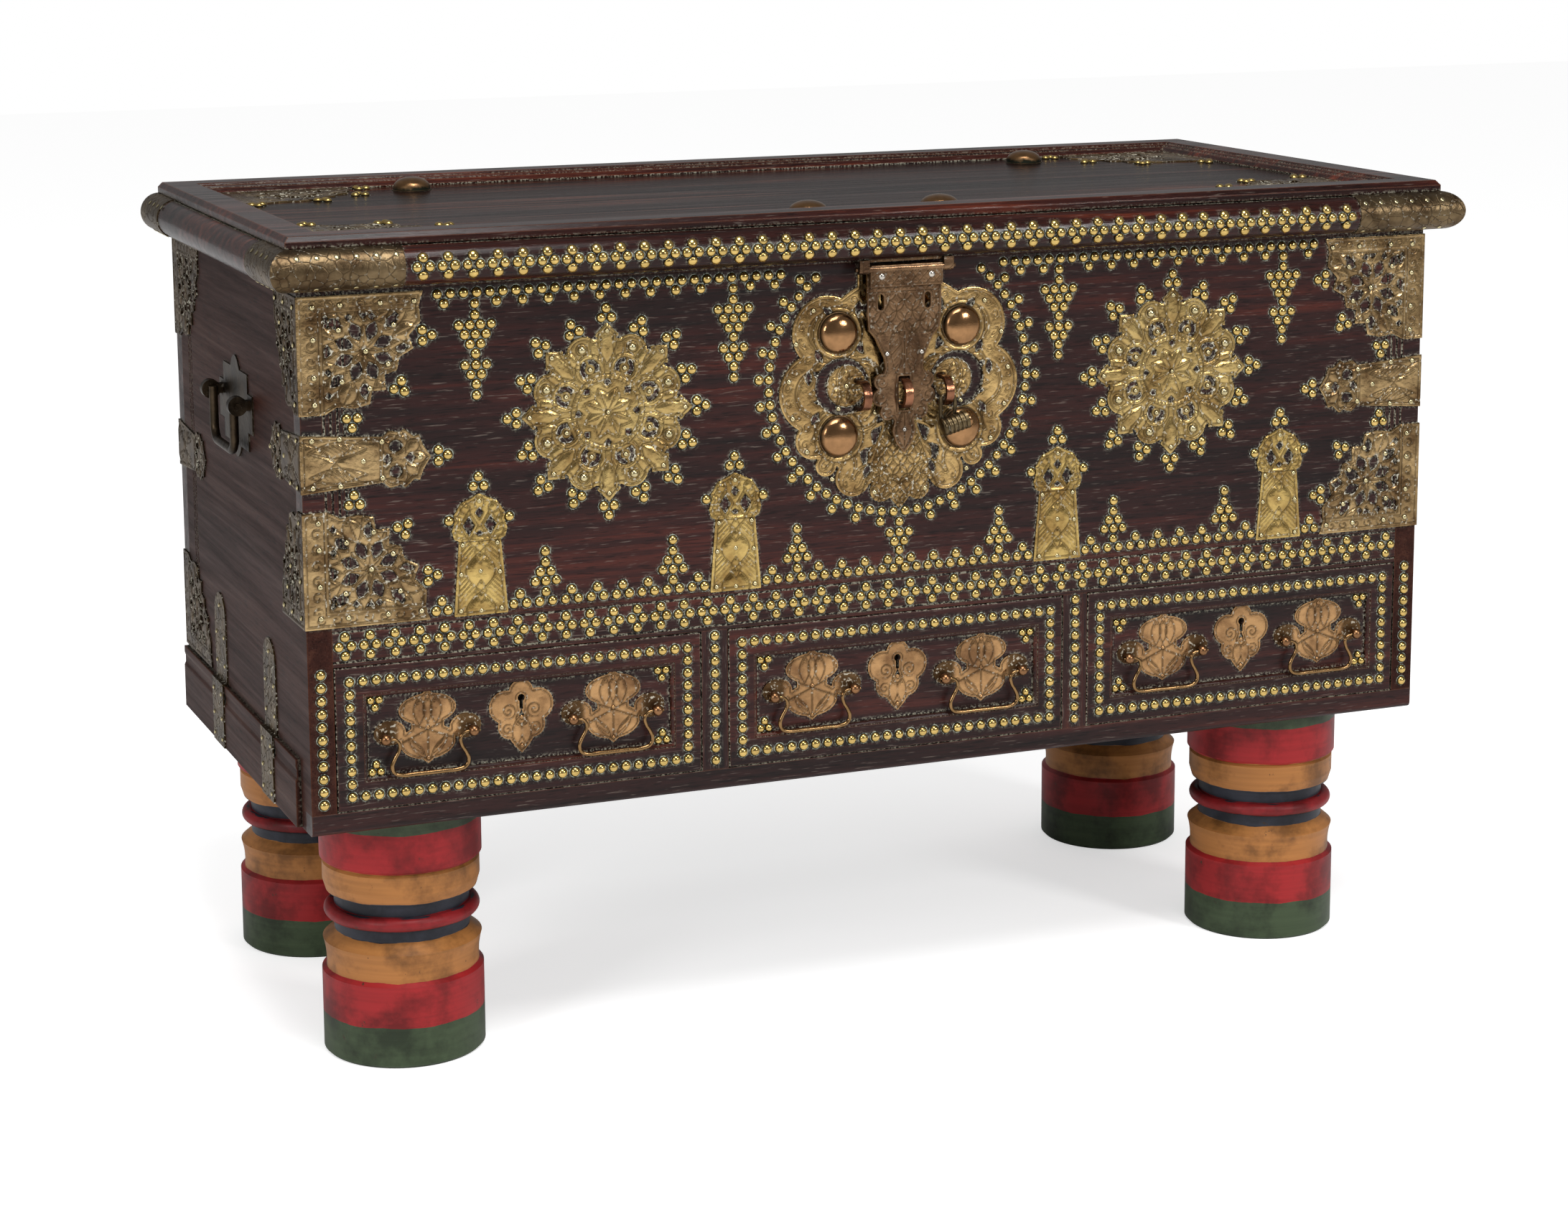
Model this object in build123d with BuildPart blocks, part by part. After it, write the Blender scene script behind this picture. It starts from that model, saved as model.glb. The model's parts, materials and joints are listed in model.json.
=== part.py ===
from build123d import *
import os
from math import asin, cos, pi, radians, sin, sqrt

# Dowry chest on four turned feet: a plank carcase with three drawers under the main
# compartment, a lid on rear hinges, and brass plates and domed studs nailed to the faces.
# Millimetres. The front faces -Y, +X is to the right of someone facing the chest, +Z is up.
# The origin is on the floor, under the centre of the whole chest.

# --- Boards -------------------------------------------------------------------------------
BOARD = 24.0             # front, back and side boards
CARCASE_DEPTH = 532.0    # front face to back face
BOTTOM_BOARD = 21.0      # bottom board, and the height of the bottom rail
DRAWER_OPENING = 140.0   # height of the drawer openings
RAIL_HEIGHT = 38.0       # studded rail over the drawers
FLOOR_BOARD = 18.0       # floor of the main compartment
FLOOR_RISE = 6.0         # chest floor's underside over the drawer openings
POST_WIDTH = 27.0        # posts between the drawers
PARTITION = 16.0         # boards behind the posts
GUIDE_HEIGHT = 30.0      # guide strips at the foot of the partitions
REED_WIDTH = 2.4         # reeds planed down the corners
REED_DEPTH = 1.5
REED_PITCH = 6.5
REED_INSET = 22.0        # corner to the first reed
REAR_REED_INSET = 33.0   # rear corner to the first reed of the sides
RAIL_ROUND = 6.0         # rounded lower edge of the bottom rail
RAIL_LINE = 4.6          # moulded lines of the upper rail from its edges

# --- Feet ---------------------------------------------------------------------------------
FOOT_R = 79.4
FOOT_FRONT_INSET = 114.0   # foot centre behind the front face
FOOT_BACK_INSET = 68.0     # foot centre before the back face
FOOT_SIDE_INSET = 115.0    # foot centre in from the side face
TENON_R = 20.0
TENON_CLEAR = 0.2
TURN_BREAK = 3.0           # eased edges of the turned bands
# Turned bands of a foot from the floor up: height, and radius less than FOOT_R
BASE_BAND = 85.0
COLLAR = 38.0
COLLAR_IN = 4.5
GROOVE = 13.0
GROOVE_IN = 13.0
DISC = 12.0
DISC_IN = 3.0
UPPER_GROOVE = 15.0
RING = 31.0
RING_IN = 2.4
TOP_BAND = 60.0

# --- Studs --------------------------------------------------------------------------------
STUD_D = 9.4
STUD_H = 4.3
STUD_SPACE = 1.1         # between touching studs of a cluster
ROW_SPACE = 3.3          # between studs of a row
RAIL_SPACE = 2.6         # between the studs of the diamond bands
PANEL_STUD_D = 8.0       # small studs on the drawer panels

# --- Plates on the front --------------------------------------------------------------------
PLATE = 1.4              # thickness of the brass plates
LOCK_HALF_W = 129.0      # lock plate, centre to side lobe
LOCK_PLATE_DROP = 119.0  # lock plate's centre below the front board's top edge
LOCK_SHOULDER = 1.0      # lock plate's top past the side staples' middles
LOCK_TOP_RISE = 1.0      # lock plate's top over the top row of studs
LOCK_BOSS_X = 66.0       # lock bosses from the plate's middle
LOCK_BOSS_Z = 51.0
LOCK_RING_GAP = 9.5      # lock plate to the centres of the studs round it
LOCK_RING_SQUASH = 4.5   # ring of studs lower than wide
LOCK_RING_RISE = 3.0     # ring's middle over the plate's
LOCK_RING_SPACE = 0.8    # between the ring's studs and those outside them
ROSETTE_TIP_R = 86.0      # rosette's middle to its tips
ROSETTE_LOBE_R = 78.0     # rosette's middle to the ends of its lobes
ROSETTE_BODY_R = 71.0     # rosette's middle to the notches
ROSETTE_LOBE_W = 34.0     # width of a lobe
ROSETTE_TIP_W = 24.0      # width of a tip at its shoulders
ROSETTE_STUD_GAP = 0.8    # lobe to the studs beyond it
PENDANT_LOCK_GAP = 25.0    # lock plate to the inner pendants
PENDANT_GAP = 3.8          # pendant to rosette studs
PENDANT_CORNER_GAP = 29.1  # outer pendant to corner plate
SPIRE_LOCK_X = 65.0        # spires under the lock plate, before the inner minarets
STUD_PLATE_GAP = 1.0       # studs beside plates and under the rail
RAIL_BAND_RISE = 0.5       # band of studs over the rail's middle
ROSETTE_STUD_SET = 0.3     # studs at a rosette's points overlap their tips
CORNER_PLATE_W = 118.5
CORNER_PLATE_H = 110.0
CORNER_PLATE_DROP = 3.5    # upper corner plate below the board's top edge
STRAP_H = 55.0             # corner straps
STRAP_REACH = 4.0          # straps past the corner plates
MINARET_H = 116.5
MINARET_W = 53.0
MINARET_STUD_X = 29.5      # studs beside a minaret plate's head
MINARET_STUD_GAP = 2.0     # minaret plate to the studs on its top
SPIRE_GAP = 20.0           # spire to rosette studs
ROSETTE_TOP_GAP = 3.2      # rosette studs to the top rows
TOP_ROW_DROP = 8.0         # top row below the board's top edge
TOP_ROW_END = 8.0          # top row to the studs beside the corner plates
TOP_ROW_GAP = 3.0          # top row to the ring of studs
LOWER_ROW_RISE = 7.0       # lower row over the board's bottom edge
BOSS_R = 19.0              # copper bosses
BOSS_H = 9.6
BOSS_RIM = 2.2
BOSS_RIM_T = 1.0

# --- Lock, hasp and staples -------------------------------------------------------------------
STAPLE_X = 44.0          # side staples from the centre
STAPLE_R = 15.0
STAPLE_BAND = 3.5
STAPLE_W = 8.0
STAPLE_OUT = 11.0        # centre of the staple's bow from the board
STAPLE_DROP = 130.0      # staples below the front board's top edge
SLOT_CLEAR = 0.2         # round the staples' legs
HASP_T = 3.0
HASP_OFF = 9.0           # hasp's back face from the board
HASP_TOP_W = 79.0
HASP_WAIST_W = 42.0
HASP_LENGTH = 183.0      # pin to tip
HASP_PIN_OUT = 14.0      # pin from the board
HASP_PIN_DROP = 6.0      # pin below the front board's top edge
HASP_PIN_R = 2.2
HASP_KNUCKLE_R = 4.6
HASP_SLOT_CLEAR = 2.0    # slot round the middle staple
HASP_EYE_X = 25.0        # two pierced eyes from the hasp's middle, and below its pin
HASP_EYE_DROP = 33.0
HASP_EYE_L = 16.0
HASP_EYE_W = 6.4
HASP_LEAF_T = 2.5
HASP_LEAF_W = 100.0
HASP_PIN_W = 106.0
LOCK_BARREL_R = 9.5
LOCK_BARREL_L = 35.0
LOCK_TILT = 15.0         # degrees
LOCK_WIRE_R = 2.2
LOCK_WIRE_BEND = 4.0
LOCK_WIRE_OUT = 18.5     # loop from the board
LOCK_LOOP_HALF = 7.5
LOCK_LOOP_RISE = 4.0     # top of the loop below the centre of its staple
LOCK_DROP = 27.0         # barrel below its loop
LOCK_BARREL_FORWARD = 4.7
LOCK_BARREL_SHIFT = 7.5  # barrel's middle to the right of its staple
RUN_CLEAR = 0.3          # between moving round parts

# --- Lid ------------------------------------------------------------------------------------
LID_OVERHANG = 30.0
LID_RIM_H = 22.0
LID_BOARD = 20.0
EDGE_H = 37.5            # half-round edge moulding
EDGE_DROP = 1.25         # moulding's top below the lid board's top
NOSE_STUD_TURN = 26.5    # degrees round the moulding to its upper and lower studs
FRAME_W = 50.0           # raised frame on the lid
FRAME_T = 11.0
FRAME_OVERHANG = 12.0
SLEEVE = 1.0             # brass sleeves round the edge moulding
SLEEVE_FRONT = 125.0     # sleeve along the front, from the corner
SLEEVE_SIDE = 100.0
CAP_LENGTH = 82.0
CAP_REACH = 13.0         # side mouldings past the back face
LID_BOSS_H = 13.0        # taller bosses on the lid
LID_BOSS_X = 361.0
LID_BACK_BOSS_INSET = 40.0    # rear bosses from the raised frame
LID_FRONT_BOSS_X = 71.0
LID_FRONT_BOSS_INSET = 22.0   # front bosses from the raised frame
LID_RIM_W = 24.0
LID_PLATE_X = 140.0      # brass corner plates on the lid
LID_PLATE_Y = 115.0

# --- Rear hinges ------------------------------------------------------------------------------
HINGE_X = 350.0
HINGE_W = 40.0
HINGE_T = 2.5
HINGE_LENGTH = 120.0
HINGE_PIN_R = 2.5
KNUCKLE_R = 5.0
KNUCKLE_CLEAR = 1.0      # round the hinge and hasp knuckles
HINGE_OUT = 6.0          # hinge pin behind the back face
HINGE_BORE_R = 2.8
LID_KNUCKLE_W = 16.0
LID_STRAP_H = 41.0

# --- Drawers ----------------------------------------------------------------------------------
DRAWER_GAP = 1.0         # round each drawer front
DRAWER_BREAK = 1.2       # eased edges of the drawer fronts
DRAWER_LIFT = 0.3        # over the bottom board
DRAWER_FRONT = 20.0
DRAWER_SIDE = 11.0
DRAWER_SIDE_H = 118.0
DRAWER_BOX_L = 430.0
DRAWER_BOTTOM = 7.0
DRAWER_BOTTOM_RISE = 8.0
DRAWER_FRAME = 27.0      # raised frame round the drawer panel
DRAWER_PANEL_IN = 5.0    # panel behind the frame
DRAWER_STUD_INSET = 14.0
PANEL_TRIO_INSET = 12.0  # trios of small studs from the panel's sides
PANEL_TRIO_DROP = 10.0   # trios from the panel's top and foot
PANEL_STUD_SPACE = 0.6   # between their studs
BAIL_X = 92.5            # bails from the drawer's centre
BAIL_POST_X = 43.0
BAIL_POST_R = 5.4
BAIL_OUT = 8.8           # bail's axis from the drawer panel
BAIL_WIRE_R = 2.2
BAIL_DROP = 36.0
BAIL_AXIS_DROP = 2.5     # bail's axis below the drawer's mid height
BAIL_NECK_X = 28.5
BAIL_FOOT_X = 36.5
BAIL_BORE_R = 2.5
BAIL_STEM_R = 3.4
BAIL_BEND_R = 7.0
BAIL_END = 0.6           # bail's ends past its posts
BAIL_PLATE_RISE = 8.0    # waist of the bail plate over the bail's axis
BAIL_WAIST_W = 32.0
BAIL_WAIST_H = 36.0
BAIL_TIP_HALF = 9.0      # half width of its pointed tips
ESCUTCHEON_H = 72.0
ESCUTCHEON_W = 64.0
ESCUTCHEON_RISE = 4.5    # escutcheon's middle over the drawer's middle
KEYHOLE_R = 3.6
KEYHOLE_TAIL = 4.0       # slot below the keyhole's round
KEYHOLE_DEPTH = 12.0

# --- Sides ------------------------------------------------------------------------------------
BASE_MOULD_H = 66.0
BASE_MOULD_T = 5.0
BASE_MOULD_INSET = 40.0   # behind the front face
BASE_STEP = 7.0           # steps of the base moulding
BASE_HOLLOW = 1.5         # depth of its hollow
BASE_LIP = 0.5            # top lip behind its face
BASE_STRAP_W = 48.0
BASE_STRAP_RISE = 93.0    # over the base moulding
BASE_STRAP_FRONT = 150.0  # front base strap behind the front face
BASE_STRAP_BACK = 168.0   # rear base strap before the back face
SIDE_PLATE_W = 85.0       # corner plates along the sides
SIDE_STRAP_MORE = 30.0    # corner straps past the plates on the sides
REAR_PLATE_GAP = 3.0      # rear corner plates over the base moulding
REAR_PLATE_W = 122.0
REAR_PLATE_H = 103.0
REAR_STRAP_H = 49.0
REAR_WRAP = 45.0          # rear plates round the back
HANDLE_Y = 256.0          # side handle from the front face
HANDLE_DROP = 133.0       # handle's posts below the carcase's top edge
HANDLE_POST_Y = 58.0
HANDLE_OUT = 13.5
HANDLE_WIRE_R = 4.4
HANDLE_PIN_R = 3.2
HANDLE_PIN_END = 1.5     # pins past the eyes
HANDLE_DROP_H = 48.0
HANDLE_EYE_R = 9.5
HANDLE_EYE_W = 10.0
HANDLE_LEG_Y = 44.0
HANDLE_CORNER_R = 16.0
HANDLE_PLATE_L = 140.0
HANDLE_PLATE_H = 76.0

# --- Derived sizes ----------------------------------------------------------------------------
stud_step = STUD_D + STUD_SPACE
stud_rise = stud_step * sin(radians(60))
row_pitch = STUD_D + ROW_SPACE
rail_pitch = 2 * (STUD_D + RAIL_SPACE)
cluster_reach = stud_rise + STUD_D / 2
rosette_stud_r = ROSETTE_TIP_R + STUD_D / 2
rosette_reach = rosette_stud_r + cluster_reach
pendant_half = 1.5 * stud_step + STUD_D / 2
spire_height = 2 * stud_step + 2 * stud_rise

# Across the front: lock plate, pendant, rosette, pendant, corner plate
pendant_inner_x = LOCK_HALF_W + PENDANT_LOCK_GAP + pendant_half
rosette_x = pendant_inner_x + pendant_half + PENDANT_GAP + rosette_reach
pendant_outer_x = rosette_x + rosette_reach + PENDANT_GAP + pendant_half
corner_plate_x = pendant_outer_x + pendant_half + PENDANT_CORNER_GAP
half_w = corner_plate_x + CORNER_PLATE_W

# Up the front: lower row and spires, rosette, top rows
spire_z = LOWER_ROW_RISE + stud_rise
rosette_rise = spire_z + spire_height + STUD_D / 2 + SPIRE_GAP + rosette_reach
panel_height = rosette_rise + rosette_reach + ROSETTE_TOP_GAP + STUD_D / 2 + stud_rise + TOP_ROW_DROP

foot_height = BASE_BAND + COLLAR + GROOVE + DISC + UPPER_GROOVE + RING + TOP_BAND
z_bottom = foot_height
z_drawer = z_bottom + BOTTOM_BOARD
z_rail = z_drawer + DRAWER_OPENING
z_panel = z_rail + RAIL_HEIGHT
z_top = z_panel + panel_height
z_board = z_top + LID_RIM_H
z_lid = z_board + LID_BOARD
z_floor = z_rail + FLOOR_RISE

foot_centre_x = half_w - FOOT_SIDE_INSET
lock_z = z_top - LOCK_PLATE_DROP
front_reach = LID_OVERHANG + STUD_H
back_reach = CAP_REACH
front_y = front_reach - (front_reach + CARCASE_DEPTH + back_reach) / 2
back_y = front_y + CARCASE_DEPTH
inner_half_w = half_w - BOARD

rosette_z = z_panel + rosette_rise
staple_z = z_top - STAPLE_DROP
hasp_pin_z = z_top - HASP_PIN_DROP
opening_w = (2 * inner_half_w - 2 * POST_WIDTH) / 3
drawer_pitch = opening_w + POST_WIDTH
post_x = (opening_w + POST_WIDTH) / 2
drawer_w = opening_w - 2 * DRAWER_GAP
drawer_h = DRAWER_OPENING - DRAWER_LIFT - DRAWER_GAP
drawer_z = z_drawer + DRAWER_LIFT

# Faces that plates and studs are laid out on. On FRONT, u is +X and v is +Z, and the normal
# points out of the chest. On SIDE, u counts back from the front face and v is +Z, and the
# normal points into the chest's left side. On TOP, u is +X and v counts back from the front.
FRONT = Plane(origin=(0, front_y, 0), x_dir=(1, 0, 0), z_dir=(0, -1, 0))
BACK = Plane(origin=(0, back_y, 0), x_dir=(-1, 0, 0), z_dir=(0, 1, 0))
SIDE = Plane(origin=(-half_w, front_y, 0), x_dir=(0, 1, 0), z_dir=(1, 0, 0))
TOP = Plane(origin=(0, front_y, z_lid), x_dir=(1, 0, 0), z_dir=(0, 0, 1))


# --- Stud patterns, as lists of (u, v) --------------------------------------------------------
def row(start, end, pitch):
    """Studs evenly spaced from start to end."""
    (u0, v0), (u1, v1) = start, end
    count = max(1, round(sqrt((u1 - u0) ** 2 + (v1 - v0) ** 2) / pitch))
    return [(u0 + (u1 - u0) * i / count, v0 + (v1 - v0) * i / count) for i in range(count + 1)]


def tiers(counts, u, v, way):
    """Rows of a triangular cluster from (u, v) up (way 1) or down (way -1)."""
    points = []
    for i, count in enumerate(counts):
        if i:
            same_parity = (count - counts[i - 1]) % 2 == 0
            v += way * (stud_step if same_parity else stud_rise)
        points += [(u + (k - (count - 1) / 2) * stud_step, v) for k in range(count)]
    return points


def trio(u, v, angle, step=stud_step):
    """Three touching studs round (u, v), one of them towards the angle."""
    reach = step / sqrt(3)
    turns = [radians(angle + 120 * k) for k in range(3)]
    return [(u + reach * cos(a), v + reach * sin(a)) for a in turns]


def diamonds(u0, u1, v, pitch):
    """A band of touching diamonds of four studs from u0 to u1."""
    count = max(1, round((u1 - u0) / pitch))
    step = (u1 - u0) / count
    points = []
    for i in range(count):
        u = u0 + step * (i + 0.5)
        points += [(u - step / 4, v), (u + step / 4, v), (u, v + stud_rise), (u, v - stud_rise)]
    return points


def both_sides(points):
    """The points and their mirror images in u."""
    return points + [(-u, v) for u, v in points]


def raised(points, height):
    """The points as places that stand a height off their face."""
    return [(u, v, height) for u, v in points]


def spaced(points, space=STUD_D + 0.2):
    """The points, without any that would touch an earlier one."""
    kept = []
    for u, v in points:
        if all((u - a) ** 2 + (v - b) ** 2 > space ** 2 for a, b in kept):
            kept.append((u, v))
    return kept


os.makedirs("parts", exist_ok=True)

def domed(diameter, height, rim=0.0, rim_t=0.0):
    """A domed head that stands on the XY plane, with a flat rim round its foot."""
    sphere_r = (diameter ** 2 / 4 + height ** 2) / (2 * height)
    half_turn = asin(min(1.0, diameter / 2 / sphere_r)) / 2
    mid = (sphere_r * sin(half_turn), rim_t + height - sphere_r + sphere_r * cos(half_turn))
    foot_edge = [(0, 0), (diameter / 2, 0)]
    if rim:
        foot_edge = [(0, 0), (diameter / 2 + rim, 0), (diameter / 2 + rim, rim_t), (diameter / 2, rim_t)]
    with BuildPart() as head:
        with BuildSketch(Plane.XZ):
            with BuildLine():
                Polyline(*foot_edge)
                ThreePointArc((diameter / 2, rim_t), mid, (0, rim_t + height))
                Line((0, rim_t + height), (0, 0))
            make_face()
        revolve(axis=Axis.Z)
    return head.part


stud = domed(STUD_D, STUD_H)
panel_stud = domed(PANEL_STUD_D, STUD_H)
boss = domed(2 * BOSS_R, BOSS_H, BOSS_RIM, BOSS_RIM_T)
lid_boss = domed(2 * BOSS_R, LID_BOSS_H, BOSS_RIM, BOSS_RIM_T)

# --- Carcase ----------------------------------------------------------------------------------
# The staples' legs go through the lock plate and the front board.
staple_places = [(u, staple_z) for u in (-STAPLE_X, 0, STAPLE_X)]
leg_v = STAPLE_R - STAPLE_BAND / 2
leg_places = [(u, v + way * leg_v) for u, v in staple_places for way in (1, -1)]

# Front board: the wide plank over the drawers, reeded down both corners
with BuildPart() as front_board:
    with BuildSketch(FRONT):
        with Locations((0, z_panel + panel_height / 2)):
            Rectangle(2 * half_w, panel_height)
    extrude(amount=-BOARD)
    with BuildSketch(FRONT):
        with Locations(*[(way * (half_w - REED_INSET - k * REED_PITCH), z_panel + panel_height / 2)
                         for k in range(4) for way in (1, -1)]):
            Rectangle(REED_WIDTH, panel_height)
    extrude(amount=-REED_DEPTH, mode=Mode.SUBTRACT)
    with BuildSketch(FRONT):
        with Locations(*leg_places):
            Rectangle(STAPLE_W + 2 * SLOT_CLEAR, STAPLE_BAND + 2 * SLOT_CLEAR)
    extrude(amount=-BOARD, mode=Mode.SUBTRACT)
front_board.part.label = "front_board"
export_step(front_board.part, "parts/front_board.step")

# Back board: the full width and height
with BuildPart() as back_board:
    with BuildSketch(BACK):
        with Locations((0, (z_bottom + z_top) / 2)):
            Rectangle(2 * half_w, z_top - z_bottom)
    extrude(amount=-BOARD)
back_board.part.label = "back_board"
export_step(back_board.part, "parts/back_board.step")

# Side boards: behind the front board and the bottom rail, but out to the front face beside
# the drawers, where they are the end stiles
with BuildPart() as left_side_board:
    with BuildSketch(SIDE):
        with BuildLine():
            Polyline((BOARD, z_bottom), (BOARD, z_drawer), (0, z_drawer), (0, z_panel), (BOARD, z_panel),
                     (BOARD, z_top), (CARCASE_DEPTH - BOARD, z_top), (CARCASE_DEPTH - BOARD, z_bottom),
                     close=True)
        make_face()
    extrude(amount=BOARD)
    with BuildSketch(SIDE):
        with Locations(*[(CARCASE_DEPTH - BOARD - REAR_REED_INSET - k * REED_PITCH, (z_bottom + z_top) / 2)
                         for k in range(3)]):
            Rectangle(REED_WIDTH, z_top - z_bottom)
    extrude(amount=REED_DEPTH, mode=Mode.SUBTRACT)
left_side_board.part.label = "left_side_board"
export_step(left_side_board.part, "parts/left_side_board.step")

with BuildPart() as right_side_board:
    add(left_side_board.part.mirror(Plane.YZ))
right_side_board.part.label = "right_side_board"
export_step(right_side_board.part, "parts/right_side_board.step")

# Chest floor and bottom board, between the four boards
with BuildPart() as chest_floor:
    with BuildSketch(Plane.XY.offset(z_floor)):
        with Locations((0, (front_y + back_y) / 2)):
            Rectangle(2 * inner_half_w, CARCASE_DEPTH - 2 * BOARD)
    extrude(amount=FLOOR_BOARD)
chest_floor.part.label = "chest_floor"
export_step(chest_floor.part, "parts/chest_floor.step")

foot_places = [(side * foot_centre_x, y)
               for y in (front_y + FOOT_FRONT_INSET, back_y - FOOT_BACK_INSET) for side in (-1, 1)]
with BuildPart() as bottom_board:
    with BuildSketch(Plane.XY.offset(z_bottom)):
        with Locations((0, (front_y + back_y) / 2)):
            Rectangle(2 * inner_half_w, CARCASE_DEPTH - 2 * BOARD)
        with Locations(*foot_places):
            Circle(TENON_R + TENON_CLEAR, mode=Mode.SUBTRACT)
    extrude(amount=BOTTOM_BOARD)
bottom_board.part.label = "bottom_board"
export_step(bottom_board.part, "parts/bottom_board.step")

# Front rails: the bottom rail across the whole front, with a rounded lower edge, and the
# upper rail between the side boards, with a moulded line along each edge
with BuildPart() as front_rails:
    with BuildSketch(FRONT):
        with Locations((0, z_bottom + BOTTOM_BOARD / 2)):
            Rectangle(2 * half_w, BOTTOM_BOARD)
    extrude(amount=-BOARD)
    fillet(front_rails.edges().filter_by(Axis.X).group_by(Axis.Z)[0].sort_by(Axis.Y)[0], RAIL_ROUND)
    with BuildSketch(FRONT):
        with Locations((0, z_rail + RAIL_HEIGHT / 2)):
            Rectangle(2 * inner_half_w, RAIL_HEIGHT)
    extrude(amount=-BOARD)
    with BuildSketch(FRONT):
        with Locations((0, z_rail + RAIL_LINE), (0, z_panel - RAIL_LINE)):
            Rectangle(2 * inner_half_w, REED_WIDTH)
    extrude(amount=-REED_DEPTH, mode=Mode.SUBTRACT)
front_rails.part.label = "front_rails"
export_step(front_rails.part, "parts/front_rails.step")

# Drawer dividers: a post at the front, and a partition board behind it up to the chest floor
with BuildPart() as drawer_dividers:
    with BuildSketch(Plane.XY.offset(z_drawer)):
        with Locations(*[(way * post_x, front_y + BOARD / 2) for way in (-1, 1)]):
            Rectangle(POST_WIDTH, BOARD)
    extrude(amount=DRAWER_OPENING)
    with BuildSketch(Plane.XY.offset(z_drawer)):
        with Locations(*[(way * post_x, (front_y + back_y) / 2) for way in (-1, 1)]):
            Rectangle(PARTITION, CARCASE_DEPTH - 2 * BOARD)
    extrude(amount=z_floor - z_drawer)
    # Guide strips fill each partition out to the width of its post at the drawers' feet
    with BuildSketch(Plane.XY.offset(z_drawer)):
        with Locations(*[(way * post_x, (front_y + back_y) / 2) for way in (-1, 1)]):
            Rectangle(POST_WIDTH, CARCASE_DEPTH - 2 * BOARD)
    extrude(amount=GUIDE_HEIGHT)
drawer_dividers.part.label = "drawer_dividers"
export_step(drawer_dividers.part, "parts/drawer_dividers.step")

# Base mouldings: skirting with two grooves, along the foot of each side
with BuildPart() as base_mouldings:
    with BuildSketch(Plane(origin=(-half_w, front_y + BASE_MOULD_INSET, z_bottom), x_dir=(-1, 0, 0),
                           z_dir=(0, 1, 0))):
        with BuildLine():
            Polyline((0, 0), (BASE_MOULD_T, 0), (BASE_MOULD_T, BASE_MOULD_H - BASE_STEP * 3),
                     (BASE_MOULD_T - BASE_HOLLOW, BASE_MOULD_H - BASE_STEP * 2.5),
                     (BASE_MOULD_T - BASE_HOLLOW, BASE_MOULD_H - BASE_STEP * 1.5),
                     (BASE_MOULD_T - BASE_LIP, BASE_MOULD_H - BASE_STEP),
                     (BASE_MOULD_T - BASE_LIP, BASE_MOULD_H),
                     (0, BASE_MOULD_H), close=True)
        make_face()
    extrude(amount=CARCASE_DEPTH - BASE_MOULD_INSET)
    mirror(about=Plane.YZ)
base_mouldings.part.label = "base_mouldings"
export_step(base_mouldings.part, "parts/base_mouldings.step")


# --- Feet -------------------------------------------------------------------------------------
# Turned in one piece with a tenon on top, and painted in bands
def foot(x, y):
    """A turned foot under (x, y)."""
    z1 = BASE_BAND
    z2 = z1 + COLLAR
    z3 = z2 + GROOVE
    z4 = z3 + DISC
    z5 = z4 + UPPER_GROOVE
    z6 = z5 + RING
    groove_r = FOOT_R - GROOVE_IN
    disc_r = FOOT_R - DISC_IN
    ring_r = FOOT_R - RING_IN
    with BuildPart() as turned:
        with BuildSketch(Plane(origin=(x, y, 0), x_dir=(1, 0, 0), z_dir=(0, -1, 0))):
            with BuildLine():
                Polyline((0, 0), (FOOT_R - TURN_BREAK, 0), (FOOT_R, TURN_BREAK), (FOOT_R, z1 - TURN_BREAK),
                         (FOOT_R - COLLAR_IN, z1))
                ThreePointArc((FOOT_R - COLLAR_IN, z1), (FOOT_R - COLLAR_IN, z1 + COLLAR / 3),
                              (FOOT_R - TURN_BREAK / 2, z2 - COLLAR / 4))
                Polyline((FOOT_R - TURN_BREAK / 2, z2 - COLLAR / 4), (groove_r, z2), (groove_r, z3))
                ThreePointArc((groove_r, z3), (disc_r, (z3 + z4) / 2), (groove_r, z4))
                Polyline((groove_r, z4), (groove_r, z5), (ring_r - TURN_BREAK, z5), (ring_r, z5 + RING / 3),
                         (ring_r, z6 - TURN_BREAK), (ring_r - TURN_BREAK, z6), (FOOT_R - TURN_BREAK, z6),
                         (FOOT_R, z6 + TURN_BREAK), (FOOT_R, foot_height), (TENON_R, foot_height),
                         (TENON_R, foot_height + BOTTOM_BOARD), (0, foot_height + BOTTOM_BOARD), (0, 0))
            make_face()
        revolve(axis=Axis((x, y, 0), (0, 0, 1)))
    return turned


feet = {}
foot_names = ("front_left", "front_right", "rear_left", "rear_right")
for foot_name, (foot_x, foot_y) in zip(foot_names, foot_places):
    feet[foot_name] = foot(foot_x, foot_y)
    feet[foot_name].part.label = f"{foot_name}_foot"
    export_step(feet[foot_name].part, f"parts/{foot_name}_foot.step")


# --- Brass plates on the corners --------------------------------------------------------------
# Leafy edge of a corner plate, as shares of its width and height from the corner
LEAF_EDGE = [(1.0, 0.0), (0.965, 0.12), (0.975, 0.26), (0.88, 0.37), (0.915, 0.48), (0.80, 0.55),
             (0.78, 0.66), (0.68, 0.69), (0.69, 0.82), (0.58, 0.82), (0.56, 0.93), (0.44, 0.96),
             (0.30, 0.94), (0.20, 1.0), (0.0, 1.0)]
# Edge of a strap from the corner to its tip, as shares of its length and half height
STRAP_EDGE = [(0.0, 1.0), (0.63, 0.78), (0.68, 0.98), (0.76, 0.90), (0.80, 1.0), (0.87, 0.72),
              (0.91, 0.78), (0.94, 0.42), (1.0, 0.0)]


def corner_leaf(u, v, width, height):
    """Sketch of a corner plate from the corner (u, v); width and height carry their signs."""
    Polygon(*[(u, v)] + [(u + width * a, v + height * b) for a, b in LEAF_EDGE], align=None)


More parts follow.
